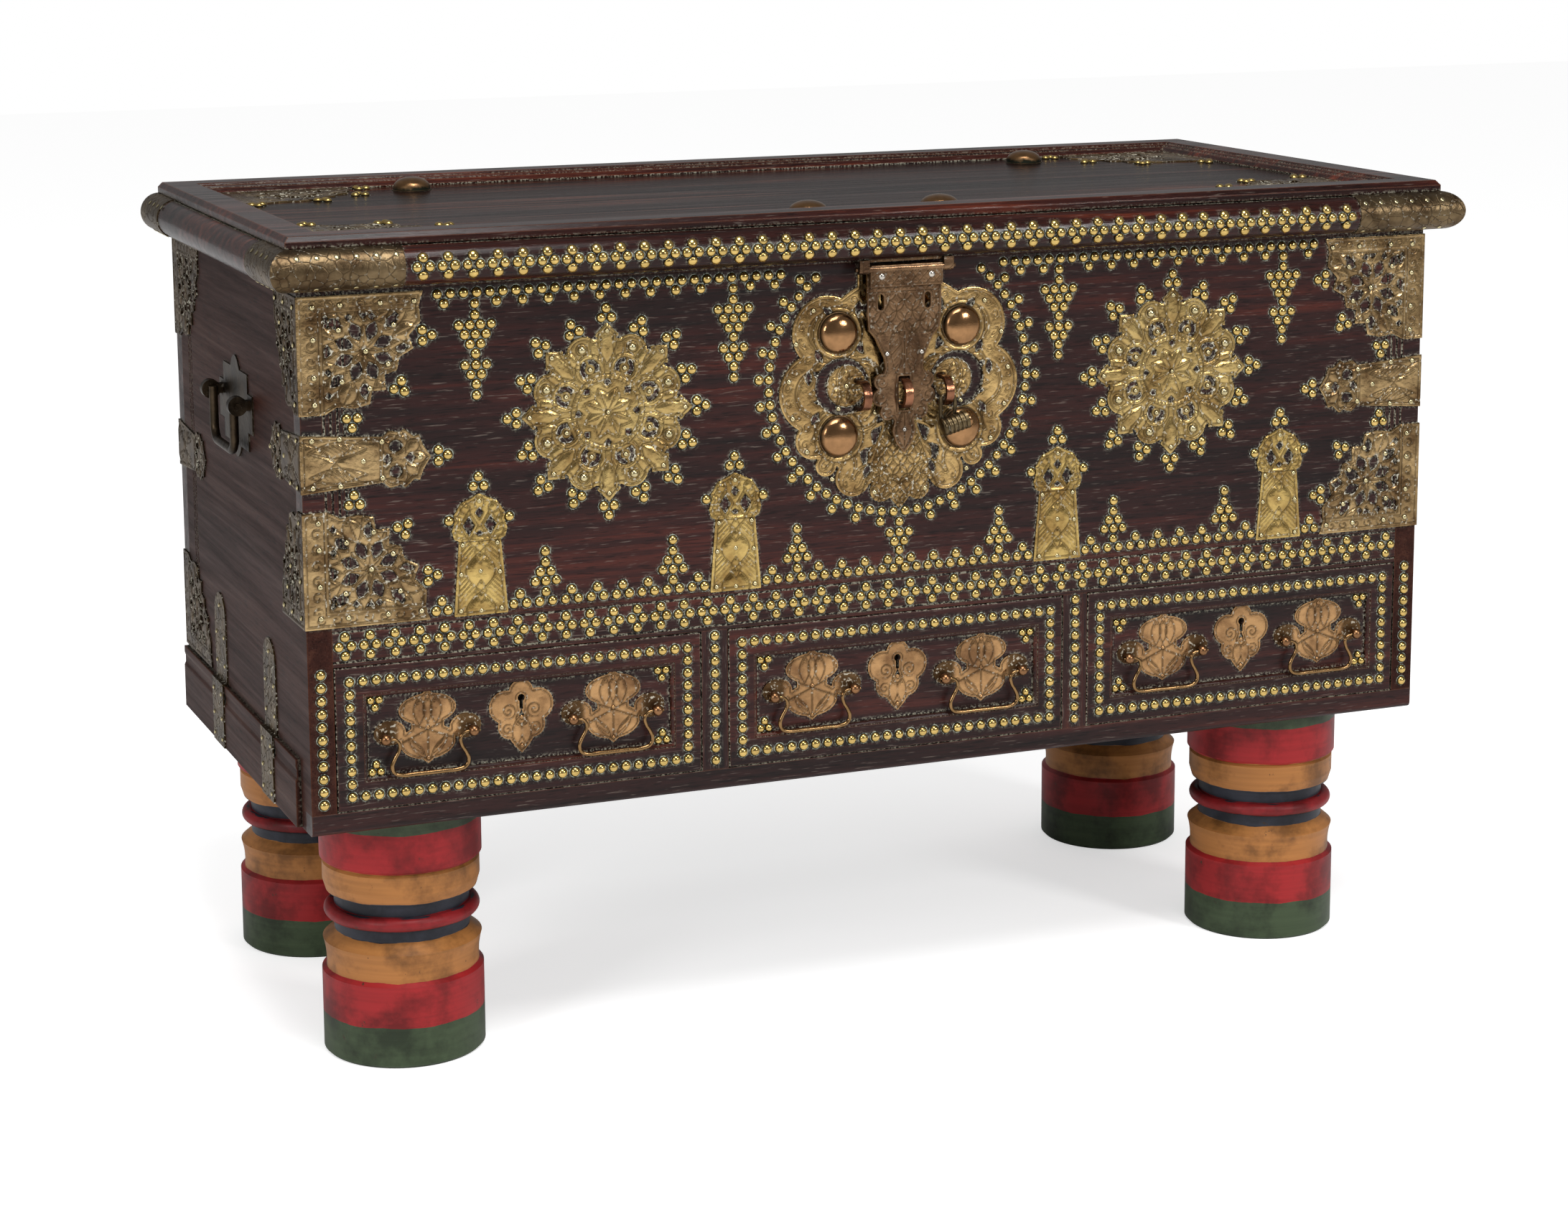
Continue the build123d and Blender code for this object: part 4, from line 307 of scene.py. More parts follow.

# --- Studs ----------------------------------------------------------------------------------------
# Over a thousand round-headed brass tacks, each driven until its dome meets the wood. They were
# cast and hand finished, so each sits a little askew. The crown is rubbed bright; the foot is
# darker, with verdigris there and painted shade up the dome's sides.


def loose_parts(name):
    """The corner points of each separate solid in a CAD node."""
    data = nodes[name].data
    points = np.empty(len(data.vertices) * 3)
    data.vertices.foreach_get("co", points)
    points = points.reshape(-1, 3)
    ends = np.empty(len(data.edges) * 2, int)
    data.edges.foreach_get("vertices", ends)
    _, same = np.unique(np.round(points, 6), axis=0, return_inverse=True)
    ends = same.reshape(-1)[ends].reshape(-1, 2)
    group = np.arange(same.max() + 1)
    while True:
        least = np.minimum(group[ends[:, 0]], group[ends[:, 1]])
        joined = group.copy()
        np.minimum.at(joined, ends[:, 0], least)
        np.minimum.at(joined, ends[:, 1], least)
        joined = joined[joined]
        if np.array_equal(joined, group):
            break
        group = joined
    group = group[same.reshape(-1)]
    return [points[group == g] for g in np.unique(group)]


def dome_template(segments, rings, steepness, crust=1.0):
    """A dome of unit radius and height on the XY plane, darker towards its foot.

    A crust over 1 adds a flat ring of dried polish round the foot, out to that radius.
    """
    bm = bmesh.new()
    bmesh.ops.create_uvsphere(bm, u_segments=segments, v_segments=rings * 2, radius=1.0)
    bmesh.ops.bisect_plane(bm, geom=bm.verts[:] + bm.edges[:] + bm.faces[:], plane_co=(0, 0, 0),
                           plane_no=(0, 0, 1), clear_inner=True)
    foot = bm.verts.layers.float.new("foot")
    for v in bm.verts:
        v[foot] = 1.0 - v.co.z
        v.co.z = v.co.z ** steepness
    if crust > 1.0:
        lip = bmesh.ops.extrude_edge_only(bm, edges=[e for e in bm.edges if e.is_boundary])["geom"]
        for v in lip:
            if isinstance(v, bmesh.types.BMVert):
                v.co = (v.co.x * crust, v.co.y * crust, 0.02)
                v[foot] = 3.0
    for f in bm.faces:
        f.smooth = True
    made = bpy.data.meshes.new("dome")
    bm.to_mesh(made)
    bm.free()
    return made


def add_dome(bm, template, place, out, radius, height, lean=0.0, spin=0.0):
    """Adds a dome at a point, facing out."""
    turn = Vector(out).to_track_quat("Z", "Y").to_matrix().to_4x4()
    turn = turn @ Matrix.Rotation(lean, 4, "X") @ Matrix.Rotation(spin, 4, "Z")
    head = template.copy()
    head.transform(Matrix.Translation(place) @ turn @ Matrix.Diagonal((radius, radius, height, 1)))
    bm.from_mesh(head)
    bpy.data.meshes.remove(head)


def new_piece(name, bm, material, body, slot_name, *replaced):
    """Makes a mesh a piece that rides on a body and stands for CAD nodes."""
    made = bpy.data.objects.new(name, bpy.data.meshes.new(name))
    bm.to_mesh(made.data)
    bm.free()
    bpy.context.scene.collection.objects.link(made)
    made.data.materials.append(material)
    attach(made, body)
    if replaced:
        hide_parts(*replaced)


def body_of(name):
    """The body that a CAD node is part of."""
    return nodes[name]["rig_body"]


def polished_metal(name, crown, foot_colour, roughness):
    """Cast brass or copper, rubbed bright on top, and darker towards its foot: verdigris at the foot, and
    painted shade up the dome's sides.
    """
    made, tree = new_material(name)
    places = add_node(tree, "TexCoord", output="Object")
    foot = add_node(tree, "Attribute", output="Fac", attribute_name="foot")
    # Darker towards the foot: verdigris at the foot, and painted shade up the dome's sides
    patches = noise(tree, places, 130.0, 4.0)
    low = remap(tree, calc(tree, "MULTIPLY_ADD", patches, 0.5, foot), 0.72, 1.12)
    bright = mix(tree, 1.0, crown, remap(tree, patches, 0.35, 0.65, 0.8, 1.08), "MULTIPLY")
    # Dried polish outside the foot, broken into crumbs about a millimetre across
    ring = remap(tree, foot, 1.3, 1.9)
    crumb = remap(tree, noise(tree, places, 420.0, 2.0), 0.4, 0.6)
    colour = mix(tree, ring, mix(tree, low, bright, foot_colour), mix(tree, crumb, "#2b2d26", "#a9b3a4"))
    rough = remap(tree, low, 0.0, 1.0, roughness, 0.7)
    scratches = bump(tree, noise(tree, places, 900.0, 2.0), 0.0002, 0.3)
    finish_surface(tree, colour, rough, scratches, {"Metallic": remap(tree, ring, 0.0, 1.0, 1.0, 0.0)})
    return made


stud_brass = polished_metal("rubbed_cast_brass", "#cfb06a", "#1d1810", 0.17)
tack = dome_template(12, 4, 0.8, 1.17)
nose_tack = dome_template(12, 4, 0.8)
chest_middle = np.array([0.0, 0.01, 0.6])
stud_nodes = ["front_studs", "lid_studs"] + [f"{side}_drawer_studs" for side in ("left", "middle", "right")]
for name in stud_nodes:
    chance = random.Random(name)
    bm = bmesh.new()
    for corners in loose_parts(name):
        # A tack's axis is the odd one out among the spreads of its solid. A tack whose axis is
        # almost level faces the front, unless it stands on the moulding's nose.
        middle = (corners.max(0) + corners.min(0)) / 2
        spread, ways = np.linalg.eigh(np.cov((corners - middle).T))
        out = ways[:, 0] if spread[1] - spread[0] > spread[2] - spread[1] else ways[:, 2]
        flat = [0, -1, 0] if abs(middle[1] - cad_low.y) > 0.001 and abs(out[1]) > 0.98 else None
        out = np.array(flat) if flat else out * (1 if out @ (middle - chest_middle) > 0 else -1)
        along = (corners - middle) @ out
        across = np.linalg.norm((corners - middle) - np.outer(along, out), axis=1).max()
        flat_ground = max(abs(out)) > 0.999
        add_dome(bm, tack if flat_ground else nose_tack, middle + out * along.min(), out,
                 across * chance.uniform(1.0, 1.07), (along.max() - along.min()) * chance.uniform(0.9, 0.99),
                 0 if flat_ground else chance.uniform(-0.08, 0.08), chance.uniform(0, 6.28))
    new_piece(f"tacks_{name}", bm, stud_brass, body_of(name), "stud_brass", name)

# --- Rosettes -------------------------------------------------------------------------------------
# Two round plates of sheet brass, cut with saw and punch to eight points and eight lobes, then
# chased from the face over pitch: an eight-petalled flower inside a ring of pierced horseshoes.


def almond(along, across, start, end, half):
    """How far a point is inside an almond that lies along a line. Negative outside."""
    share = np.clip((along - start) / (end - start), 0, 1)
    past = np.maximum(start - along, along - end)
    return half * np.sin(np.pi * share) - np.abs(across) - np.maximum(past, 0)


def ray(x, z, count, turn=0.0):
    """A point's place along and across the nearest of a number of rays. Turn is in sectors."""
    sector = 2 * np.pi / count
    angle = np.arctan2(z, x) - turn * sector
    angle = (angle + sector / 2) % sector - sector / 2
    reach = np.hypot(x, z)
    return reach * np.cos(angle), reach * np.sin(angle)


def almonds(x, z, count, turn, start, end, half, wave=0.0):
    """How far a point is inside a ring of almonds that point outwards, waved from side to side."""
    along, across = ray(x, z, count, turn)
    return almond(along, across + wave * np.sin(along * 0.3), start, end, half)


def groove(value, width):
    """A chased line along value 0, from 0 to 1, some three widths across."""
    return np.exp(-(value / (1.5 * width)) ** 2)


def swell(value, width):
    """A rounded rise from 0 at value 0 to 1 at the width."""
    share = np.clip(value / width, 0, 1)
    return share * share * (3 - 2 * share)


def face_outlines(name, out):
    """The outlines of a CAD node's faces that look one way, as line ends, one array an outline."""
    bm = bmesh.new()
    bm.from_mesh(nodes[name].data)
    bmesh.ops.remove_doubles(bm, verts=bm.verts, dist=1e-6)
    bm.normal_update()
    left = {f for f in bm.faces if f.normal.dot(out) > 0.995}
    found = []
    while left:
        island, ahead = set(), [left.pop()]
        while ahead:
            one = ahead.pop()
            island.add(one)
            near = {g for e in one.edges for g in e.link_faces if g in left}
            left -= near
            ahead.extend(near)
        rim = [e for f in island for e in f.edges if sum(g in island for g in e.link_faces) == 1]
        found.append(np.array([[v.co[:] for v in e.verts] for e in rim]))
    bm.free()
    return found


def sheet_brass(name, bright, dull, roughness, pale=0.5, engraved=0.0):
    """Old sheet brass, rubbed on its high places and brown in its chased lines, with painted shade where
    other parts come near.

    White polish has dried into the deepest lines. Engraved adds scrollwork, from 0 to 1.
    """
    made, tree = new_material(name)
    places = add_node(tree, "TexCoord", output="Object")
    # Engraved scrollwork in cells some 12 mm across
    cells = add_node(tree, "TexVoronoi", {"Vector": places, "Scale": 85.0}, feature="DISTANCE_TO_EDGE")
    cut = remap(tree, cells, 0.0, 0.07, engraved, 0.0)
    lines = calc(tree, "MAXIMUM", add_node(tree, "Attribute", output="Fac", attribute_name="tarnish"), cut)
    # Cloudy tarnish some 30 mm across
    cloud = remap(tree, noise(tree, places, 34.0, 5.0, Roughness=0.6), 0.36, 0.62)
    # Painted shade, from ambient occlusion, where other parts come near, joined to the tarnish of the chased
    # lines
    near = add_node(tree, "AmbientOcclusion", {"Distance": 0.005}, "AO", samples=6)
    dark = calc(tree, "MAXIMUM", lines, remap(tree, near, 0.92, 0.45, 0.0, 0.9))
    tarnished_and_shaded = mix(tree, dark, mix(tree, cloud, dull, bright), "#2c2013")
    # Polish residue: specks about a millimetre across in the lines
    specks = noise(tree, places, 330.0, 3.0)
    speck = calc(tree, "MULTIPLY", remap(tree, specks, 0.57, 0.65, 0.0, pale), dark)
    # A pale rim round pierced holes, where the tarnish reaches 1
    rim = remap(tree, lines, 0.87, 0.95, 0.0, pale)
    rim = calc(tree, "MULTIPLY", rim, remap(tree, specks, 0.47, 0.55))
    speck = calc(tree, "MAXIMUM", speck, rim)
    crusted = mix(tree, speck, tarnished_and_shaded, "#d8d3c0")
    beaten = calc(tree, "MULTIPLY_ADD", cut, -0.6, noise(tree, places, 150.0, 5.0))
    rough = remap(tree, dark, 0.0, 1.0, roughness, 0.75)
    metallic = remap(tree, speck, 0.0, 0.5, 1.0, 0.0)
    finish_surface(tree, crusted, rough, bump(tree, beaten, 0.0011, 0.55), {"Metallic": metallic})
    return made


def inside_by(points, rim):
    """How far points are inside an outline of line ends, in the same units. Negative outside."""
    nearest = np.empty(len(points))
    within = np.empty(len(points), bool)
    start, run = rim[:, 0], rim[:, 1] - rim[:, 0]
    size = np.maximum((run ** 2).sum(1), 1e-12)
    for part in np.array_split(np.arange(len(points)), max(1, len(points) * len(rim) // 3000000)):
        ask = points[part][:, None, :]
        share = np.clip(((ask - start) * run).sum(2) / size, 0, 1)
        gap = ask - start - share[..., None] * run
        nearest[part] = np.sqrt((gap ** 2).sum(2).min(1))
        crosses = (start[:, 1] > ask[..., 1]) != (rim[:, 1, 1] > ask[..., 1])
        slope = np.where(np.abs(run[:, 1]) < 1e-9, 1e-9, run[:, 1])
        meets = start[:, 0] + run[:, 0] * (ask[..., 1] - start[:, 1]) / slope
        within[part] = (crosses & (ask[..., 0] < meets)).sum(1) % 2 == 1
    return np.where(within, nearest, -nearest)


def chase_outline(bm, rim, out, pattern, step, back):
    """Adds one chased sheet inside an outline of line ends.

    The pattern gets points, the plate's low and high corners, and the depth inside its edge. It
    gives relief, tarnish from 0 to 1, and how far each point is from a pierced hole. All its
    lengths are millimetres.
    """
    up = Vector((0, 1, 0)) if abs(out.z) > 0.5 else Vector((0, 0, 1))
    over = up.cross(out)
    level = (rim @ np.array(out)).max()
    flat = np.stack([rim @ np.array(over), rim @ np.array(up)], axis=2)
    low, high = flat.min((0, 1)), flat.max((0, 1))
    corners = (rim.min((0, 1)) * 1000, rim.max((0, 1)) * 1000)
    width, height = high - low
    if min(width, height) < 0.01:
        return
    grid = bmesh.new()
    place = Matrix.Translation((*((low + high) / 2), 0)) @ Matrix.Diagonal((width, height, 1, 1))
    columns, rows = (max(2, round(length / step)) for length in (width, height))
    bmesh.ops.create_grid(grid, x_segments=columns, y_segments=rows, size=0.5, matrix=place)
    sheet = bpy.data.meshes.new("sheet")
    grid.to_mesh(sheet)

    def shape(points):
        deep = inside_by(points, flat) * 1000
        solid = np.outer(points[:, 0], over) + np.outer(points[:, 1], up) + level * np.array(out)
        relief, tarnish, hole = pattern(solid * 1000, *corners, deep)
        return relief, tarnish, np.minimum(deep, hole) / 1000

    points = np.empty(len(sheet.vertices) * 3)
    sheet.vertices.foreach_get("co", points)
    points = points.reshape(-1, 3)
    relief, tarnish, metal = shape(points[:, :2])
    number = grid.verts.layers.int.new("number")
    layer = grid.verts.layers.float.new("tarnish")
    for i, v in enumerate(grid.verts):
        v[number] = i
    gone = [f for f in grid.faces if sum(metal[v[number]] for v in f.verts) <= 0]
    bmesh.ops.delete(grid, geom=gone, context="FACES")
    bmesh.ops.delete(grid, geom=[v for v in grid.verts if not v.link_faces], context="VERTS")
    edge = [v for v in grid.verts if v.is_boundary]
    first = np.array([v[number] for v in edge])
    moved = points[first][:, :2]
    # Draws the cells' corners on to the cut edges, and leaves those that would go over a cell away
    nudge = 2e-5
    for _ in range(2):
        here = shape(moved)[2]
        slope = np.stack([(shape(moved + way)[2] - here) / nudge for way in ((nudge, 0), (0, nudge))], axis=1)
        steep = np.maximum((slope ** 2).sum(1), 0.2)
        moved = moved - np.clip(here / steep, -0.8 * step, 0.8 * step)[:, None] * slope
    far = np.linalg.norm(moved - points[first][:, :2], axis=1) > 1.1 * step
    moved[far] = points[first][far][:, :2]
    relief[first], tarnish[first] = shape(moved)[:2]
    points[first, :2] = moved
    for v in grid.verts:
        i = v[number]
        v[layer] = tarnish[i]
        v.co = (points[i, 0], points[i, 1], level + relief[i] / 1000)
    for f in grid.faces:
        f.smooth = True
    rim_edges = [e for e in grid.edges if e.is_boundary]
    for e in rim_edges:
        e.smooth = False
    wall = bmesh.ops.extrude_edge_only(grid, edges=rim_edges)["geom"]
    for v in wall:
        if isinstance(v, bmesh.types.BMVert):
            v.co.z = level - back
            v[layer] = 0.8
    bmesh.ops.recalc_face_normals(grid, faces=grid.faces)
    if sum(f.normal.z for f in grid.faces) < 0:
        bmesh.ops.reverse_faces(grid, faces=grid.faces)
    bmesh.ops.transform(grid, verts=grid.verts, matrix=Matrix((over, up, out)).transposed().to_4x4())
    grid.to_mesh(sheet)
    bm.from_mesh(sheet)
    grid.free()
    bpy.data.meshes.remove(sheet)


# The sheet's thickness, and the size of its mesh's cells where it is seen from near by
plate_t = 0.0014
fine = 0.0012


def add_sheets(bm, name, out, pattern, step=fine, back=plate_t):
    """Adds the chased sheets that stand for a CAD node's plates seen from one side."""
    for rim in face_outlines(name, Vector(out)):
        chase_outline(bm, rim, Vector(out), pattern, step, back)


def chased_piece(name, node, metal, pattern, outs, step=fine, stands_in=True):
    """Makes a piece of a node's chased sheets. Outs are the ways that they face."""
    bm = bmesh.new()
    for out in outs:
        add_sheets(bm, node, out, pattern, step)
    new_piece(name, bm, metal, body_of(node), "plate_brass", *([node] if stands_in else []))


def around(reach, degrees):
    """A point at a distance and an angle, as across and up."""
    return reach * math.cos(math.radians(degrees)), reach * math.sin(math.radians(degrees))


front, both_sides = (0, -1, 0), ((-1, 0, 0), (1, 0, 0))
rivet = dome_template(10, 3, 0.8)
rivet_brass = polished_metal("rubbed_brass_nails", "#c9bb90", "#2a1f12", 0.22)


def rosette_pattern(p, low, high, deep):
    """Pattern of a rosette, from the place in it."""
    x, z = p[:, 0] - (low[0] + high[0]) / 2, p[:, 2] - (low[2] + high[2]) / 2
    reach = np.hypot(x, z)
    # The eight points lie along the spokes, and the eight lobes with their horseshoes between them
    spoke, off_spoke = ray(x, z, 8)
    lobe, off_lobe = ray(x, z, 8, 0.5)
    petal = almond(lobe, off_lobe, 1.5, 25.5, 7.2)
    square = np.abs(spoke - 29) + np.abs(off_spoke) - 3.6
    horseshoe = np.hypot(lobe - 45, off_lobe)
    gap = np.maximum(1.7 - np.abs(off_lobe), 40.5 - lobe)
    bite = np.maximum.reduce([5.4 - horseshoe, horseshoe - 9.3, gap])
    tip = almond(spoke, off_spoke, 46, 92, 9.5)
    leaf = almond(spoke, np.abs(off_spoke) - 11.5, 46, 84, 5.5)
    ring = np.abs(horseshoe - 12.5)
    eye = np.hypot(lobe - 66, off_lobe) - 5.6
    relief = 1.0 * swell(petal, 5) + 0.9 * swell(tip, 6) + 0.8 * swell(leaf, 4) + 0.7 * swell(-eye, 4)
    relief += 0.8 * groove(reach - 34, 1.7) + 0.7 * groove(ring, 1.6) * (reach > 34)
    relief = relief * swell(deep, 3) + 0.5 * groove(deep - 1.6, 1.0)
    bead = groove(reach - 34, 1.6) * (np.cos(np.arctan2(z, x) * 48) < -0.3)
    lines = np.maximum.reduce([groove(petal, 0.55), groove(reach - 31.6, 0.5), groove(reach - 36.6, 0.5),
                               groove(tip, 0.6) * (spoke > 47), groove(leaf, 0.5), groove(eye, 0.6),
                               groove(off_lobe, 0.45) * (petal > 1.5), 0.8 * bead,
                               groove(square, 0.9), groove(bite, 0.9),
                               groove(ring - 2.2, 0.45) * (reach > 36), groove(deep - 3.2, 0.5)])
    hole = np.minimum(square, bite)
    return relief - 0.55 * lines, np.maximum(0.85 * lines, groove(hole, 0.6)), hole


rosette_brass = sheet_brass("chased_sheet_brass_olive", "#c2a76c", "#8a6f43", 0.22, pale=0.8)
chased_piece("chased_rosettes", "rosettes", rosette_brass, rosette_pattern, [front])
bm = bmesh.new()
plate_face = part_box("rosettes")[0].y
# Nails: millimetres from the middle, degrees round, and radius in millimetres
nails = [(0, 0, 2.2)]
for turn in range(0, 360, 45):
    nails += [(78, turn, 2.7), (45, turn + 22.5, 2.6), (66, turn + 22.5, 4.3)]
for rim in face_outlines("rosettes", Vector(front)):
    middle = (rim.min((0, 1)) + rim.max((0, 1))) / 2
    for reach, turn, size in nails:
        x, z = around(reach / 1000, turn)
        add_dome(bm, rivet, (middle[0] + x, plate_face - 0.0003, middle[2] + z), front, size / 1000,
                 size * 0.0008 + 0.0006)
new_piece("rosette_nails", bm, rivet_brass, body_of("rosettes"), "plate_brass")

# --- Lock plate -----------------------------------------------------------------------------------
# A big lobed plate of sheet brass under the hasp, with a plain stamped border, pierced scrolls,
# a crescent each side of the staples, and a fan of scales at its foot. Four copper bosses hold it.


def tile(value, pitch):
    """A distance folded into one repeat, from minus to plus half the pitch."""
    return (value + pitch / 2) % pitch - pitch / 2


def curl(along, across, turn_gap, size):
    """A chased spiral round a point, from 0 to 1, with a gap between its turns."""
    reach = np.hypot(along, across)
    wound = reach - turn_gap * np.arctan2(across, along) / (2 * np.pi)
    return groove(tile(wound, turn_gap), 0.55) * swell(size - reach, 0.8)


def rings(u, v, pitch):
    """Chased circles that overlap like a chain of leaves, from 0 to 1."""
    first = np.hypot(tile(u, pitch), tile(v, pitch)) - pitch / 2
    second = np.hypot(tile(u + pitch / 2, pitch), tile(v + pitch / 2, pitch)) - pitch / 2
    return np.maximum(groove(first, 0.55), groove(second, 0.55))


def cut_sheet(relief, lines, cuts, depth=0.5, shade=0.85):
    """What a pattern gives, once its lines are chased and its holes pierced and rimmed."""
    return relief - depth * lines, np.maximum(shade * lines, groove(cuts, 0.7)), -cuts


# From the plate's foot up to its middle staple
lock_foot = 128.5


def lock_pattern(p, low, high, deep):
    """Pattern of the lock plate, from the place round its middle staple."""
    x, z = np.abs(p[:, 0]), p[:, 2] - low[2] - lock_foot
    # Border: a plain band with stamped curls, inside a line that follows the lobes
    inner = deep - 17
    bend = 78 + 5 * np.cos(np.arctan2(z, x) * 7)
    stamp = curl(tile(np.arctan2(z, x) * 112, 14.5), deep - 9.5, 4.4, 4.8)
    # Bosses
    boss = np.minimum(np.hypot(x - 66, z - 51), np.hypot(x - 65, z + 51))
    # Crescents beside the staples, each with a flower in it
    crescent = np.minimum(28 - np.hypot(x - 62, z + 2), np.hypot(x - 57, z + 2) - 21)
    flower = almonds(x - 58, z + 2, 6, 0.5, 3.5, 17.5, 4.6)
    round_crescent = np.hypot(x - 60, z + 2)
    # Scrolls: pierced commas, slips and drops round the plate, in three rings
    comma = almonds(x, z, 20, 0.5, bend - 7, bend + 13, 4.4, wave=2.6)
    slip = almonds(x, z, 14, 0.5, 48, 68, 4.2, wave=1.5)
    drop = almonds(x, z, 12, 0.0, 34, 47, 3.6)
    fan_half = 11 + 0.4 * np.maximum(-z - 34, 0)
    clear = np.minimum.reduce([boss - 25, round_crescent - 31, inner - 2, x - 2 - fan_half])
    cuts = np.minimum(np.maximum.reduce([comma, slip, drop]), clear)
    cuts = np.maximum(cuts, crescent)
    # Small slips round the bosses: the middle of each and the way it points
    for slip_x, slip_z, way in ((76, 72, 40), (97, 8, 90), (86, 29, 60), (88, -69, -40), (35, -88, -70),
                                (44, 74, 100), (90, -32, -60)):
        right, up = around(1, way)
        over, rise = x - slip_x, z - slip_z
        small = almond(over * right + rise * up, rise * right - over * up, -7, 7, 3.2)
        cuts = np.maximum(cuts, np.minimum(small, deep - 6))
    # Fan of scales under the hasp
    fan = np.minimum(fan_half - x, -z - 30)
    scale_rows = rings(x, z * 0.8, 15.0) * (fan > 1)
    leaf = almonds(x, z, 22, 0.75, 70, 97, 5.5) * (clear > 0)
    relief = 0.9 * swell(flower, 3) + 0.8 * swell(fan, 8) + 0.45 * swell(inner, 8)
    relief += 0.7 * swell(leaf, 3) + 1.3 * groove(boss - 23.5, 1.5)
    relief += 0.8 * groove(round_crescent - 29.5, 1.4)
    relief = relief * swell(deep, 2.5) + 0.7 * groove(deep - 1.8, 1.2)
    lines = np.maximum.reduce([groove(inner, 0.7), groove(inner - 2.6, 0.5), stamp, groove(flower, 0.55),
                               groove(fan, 0.7), scale_rows, groove(leaf, 0.5) * (clear > 0),
                               groove(cuts, 1.1), groove(boss - 26, 0.8), groove(deep - 3.4, 0.5)])
    return cut_sheet(relief, lines, cuts, 0.55)


golden_brass = sheet_brass("chased_sheet_brass_golden", "#c5a46c", "#80643e", 0.2, pale=0.8)
chased_piece("chased_lock_plate", "lock_plate", golden_brass, lock_pattern, [front])
bm = bmesh.new()
lock_face, lock_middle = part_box("lock_plate")[0].y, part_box("lock_plate")[0].z + lock_foot / 1000
# Nails round the border, then four further in: millimetres from the middle and degrees round
nails = [(118, turn) for turn in (-52, -33, -15, 3, 21, 39)] + [(70, -20), (40, -48), (113, -76), (57, -2)]
for reach, turn in nails:
    x, z = around(reach / 1000, turn)
    for way in (-1, 1):
        add_dome(bm, rivet, (way * x, lock_face - 0.0003, lock_middle + z), front, 0.0027, 0.002)
new_piece("lock_plate_nails", bm, rivet_brass, body_of("lock_plate"), "plate_brass")

# --- Copper bosses --------------------------------------------------------------------------------
# Big hollow domes of spun copper over a flat rim: four on the lock plate and four on the lid.
# They are polished by sleeves and hands, and green-black round the rim, with painted shade up their sides.
boss_copper = polished_metal("spun_copper_alloy", "#9c7550", "#1f211a", 0.15)
boss_dome = dome_template(32, 8, 0.75)
rim_height, rim_width = 0.0022, 0.0012
for name, out in (("lock_bosses", front), ("lid_bosses", (0, 0, 1))):
    bm = bmesh.new()
    for corners in loose_parts(name):
        low, high = corners.min(0), corners.max(0)
        middle = (low + high) / 2
        side = 1 if out[1] else 2
        middle[side] = high[1] if out[1] else low[2]
        radius = (high - low)[0] / 2
        add_dome(bm, boss_dome, middle, out, radius, rim_height)
        add_dome(bm, boss_dome, middle, out, radius - rim_width, (high - low)[side])
    new_piece(f"spun_{name}", bm, boss_copper, body_of(name), "copper_brass", name)

# --- Corner plates and straps ---------------------------------------------------------------------
# Sheet brass folded round the chest's corners: leafy plates with a flower pierced in each and
# a scroll border down the straight edges, and pointed straps between them. All are nailed.


def corner_pattern(width, height, edge_x, edge_z):
    """Pattern of a leafy plate, from its distance to the chest's corner and to its straight edge."""

    def pattern(p, low, high, deep):
        a, b = edge_x(p, low, high), edge_z(p, low, high)
        # The border's two widths, and the flower's middle, by shares of the plate
        border_a, border_b = 0.2 * width, 0.145 * height
        size = min(width, height) / 110
        u, v = (a - 0.53 * width) / size, (b - 0.48 * height) / size
        field = np.minimum(a - border_a, b - border_b)
        spoke, off_spoke = ray(u, v, 8)
        lobe, off_lobe = ray(u, v, 8, 0.5)
        petal = almond(spoke, off_spoke, 2, 25, 6.2)
        blade = almond(spoke, off_spoke, 27, 60, 7.0)
        slot = almond(spoke, off_spoke, 30, 45, 4.5)
        kite = almond(lobe, off_lobe, 11, 29, 5.4)
        leaf = almond(lobe, off_lobe, 29, 56, 9.0)
        notch = 3.4 - np.abs(tile(a, 22) - 5) - np.abs(b - border_b - 5)
        notch = np.maximum(notch, 3.4 - np.abs(tile(b, 22) - 5) - np.abs(a - border_a - 5))
        cuts = np.maximum.reduce([kite, slot, notch])
        cuts = np.minimum.reduce([cuts, field - 2.0, deep - 3.0])
        band_a = curl(tile(b, 15), a - 0.11 * width, 5.0, 6.0) * (field < -1) * (b > 0.14 * height)
        band_b = curl(tile(a, 15), b - 0.075 * height, 5.0, 5.6) * (b < 0.14 * height) * (a > 0.06 * width)
        relief = 1.0 * swell(petal, 5) + 0.9 * swell(np.minimum(leaf, field), 6)
        relief += 0.9 * swell(np.minimum(blade, field), 5) + 0.6 * groove(field + 1.6, 1.2)
        relief = relief * swell(deep, 2.5) + 0.5 * groove(deep - 1.6, 1.1)
        inside = field > 0.5
        leaf_vein = groove(off_lobe, 0.45) * (leaf > 2)
        petal_vein = groove(off_spoke, 0.45) * (petal > 1.5)
        leaves = np.maximum.reduce([groove(leaf, 0.6), groove(blade, 0.55), leaf_vein]) * inside
        lines = np.maximum.reduce([groove(petal, 0.6), petal_vein, leaves, groove(field, 0.6),
                                   groove(field + 3.4, 0.5), band_a, band_b, groove(cuts, 1.1),
                                   groove(deep - 3.2, 0.45)])
        return cut_sheet(relief, lines, cuts, 0.55)

    return pattern


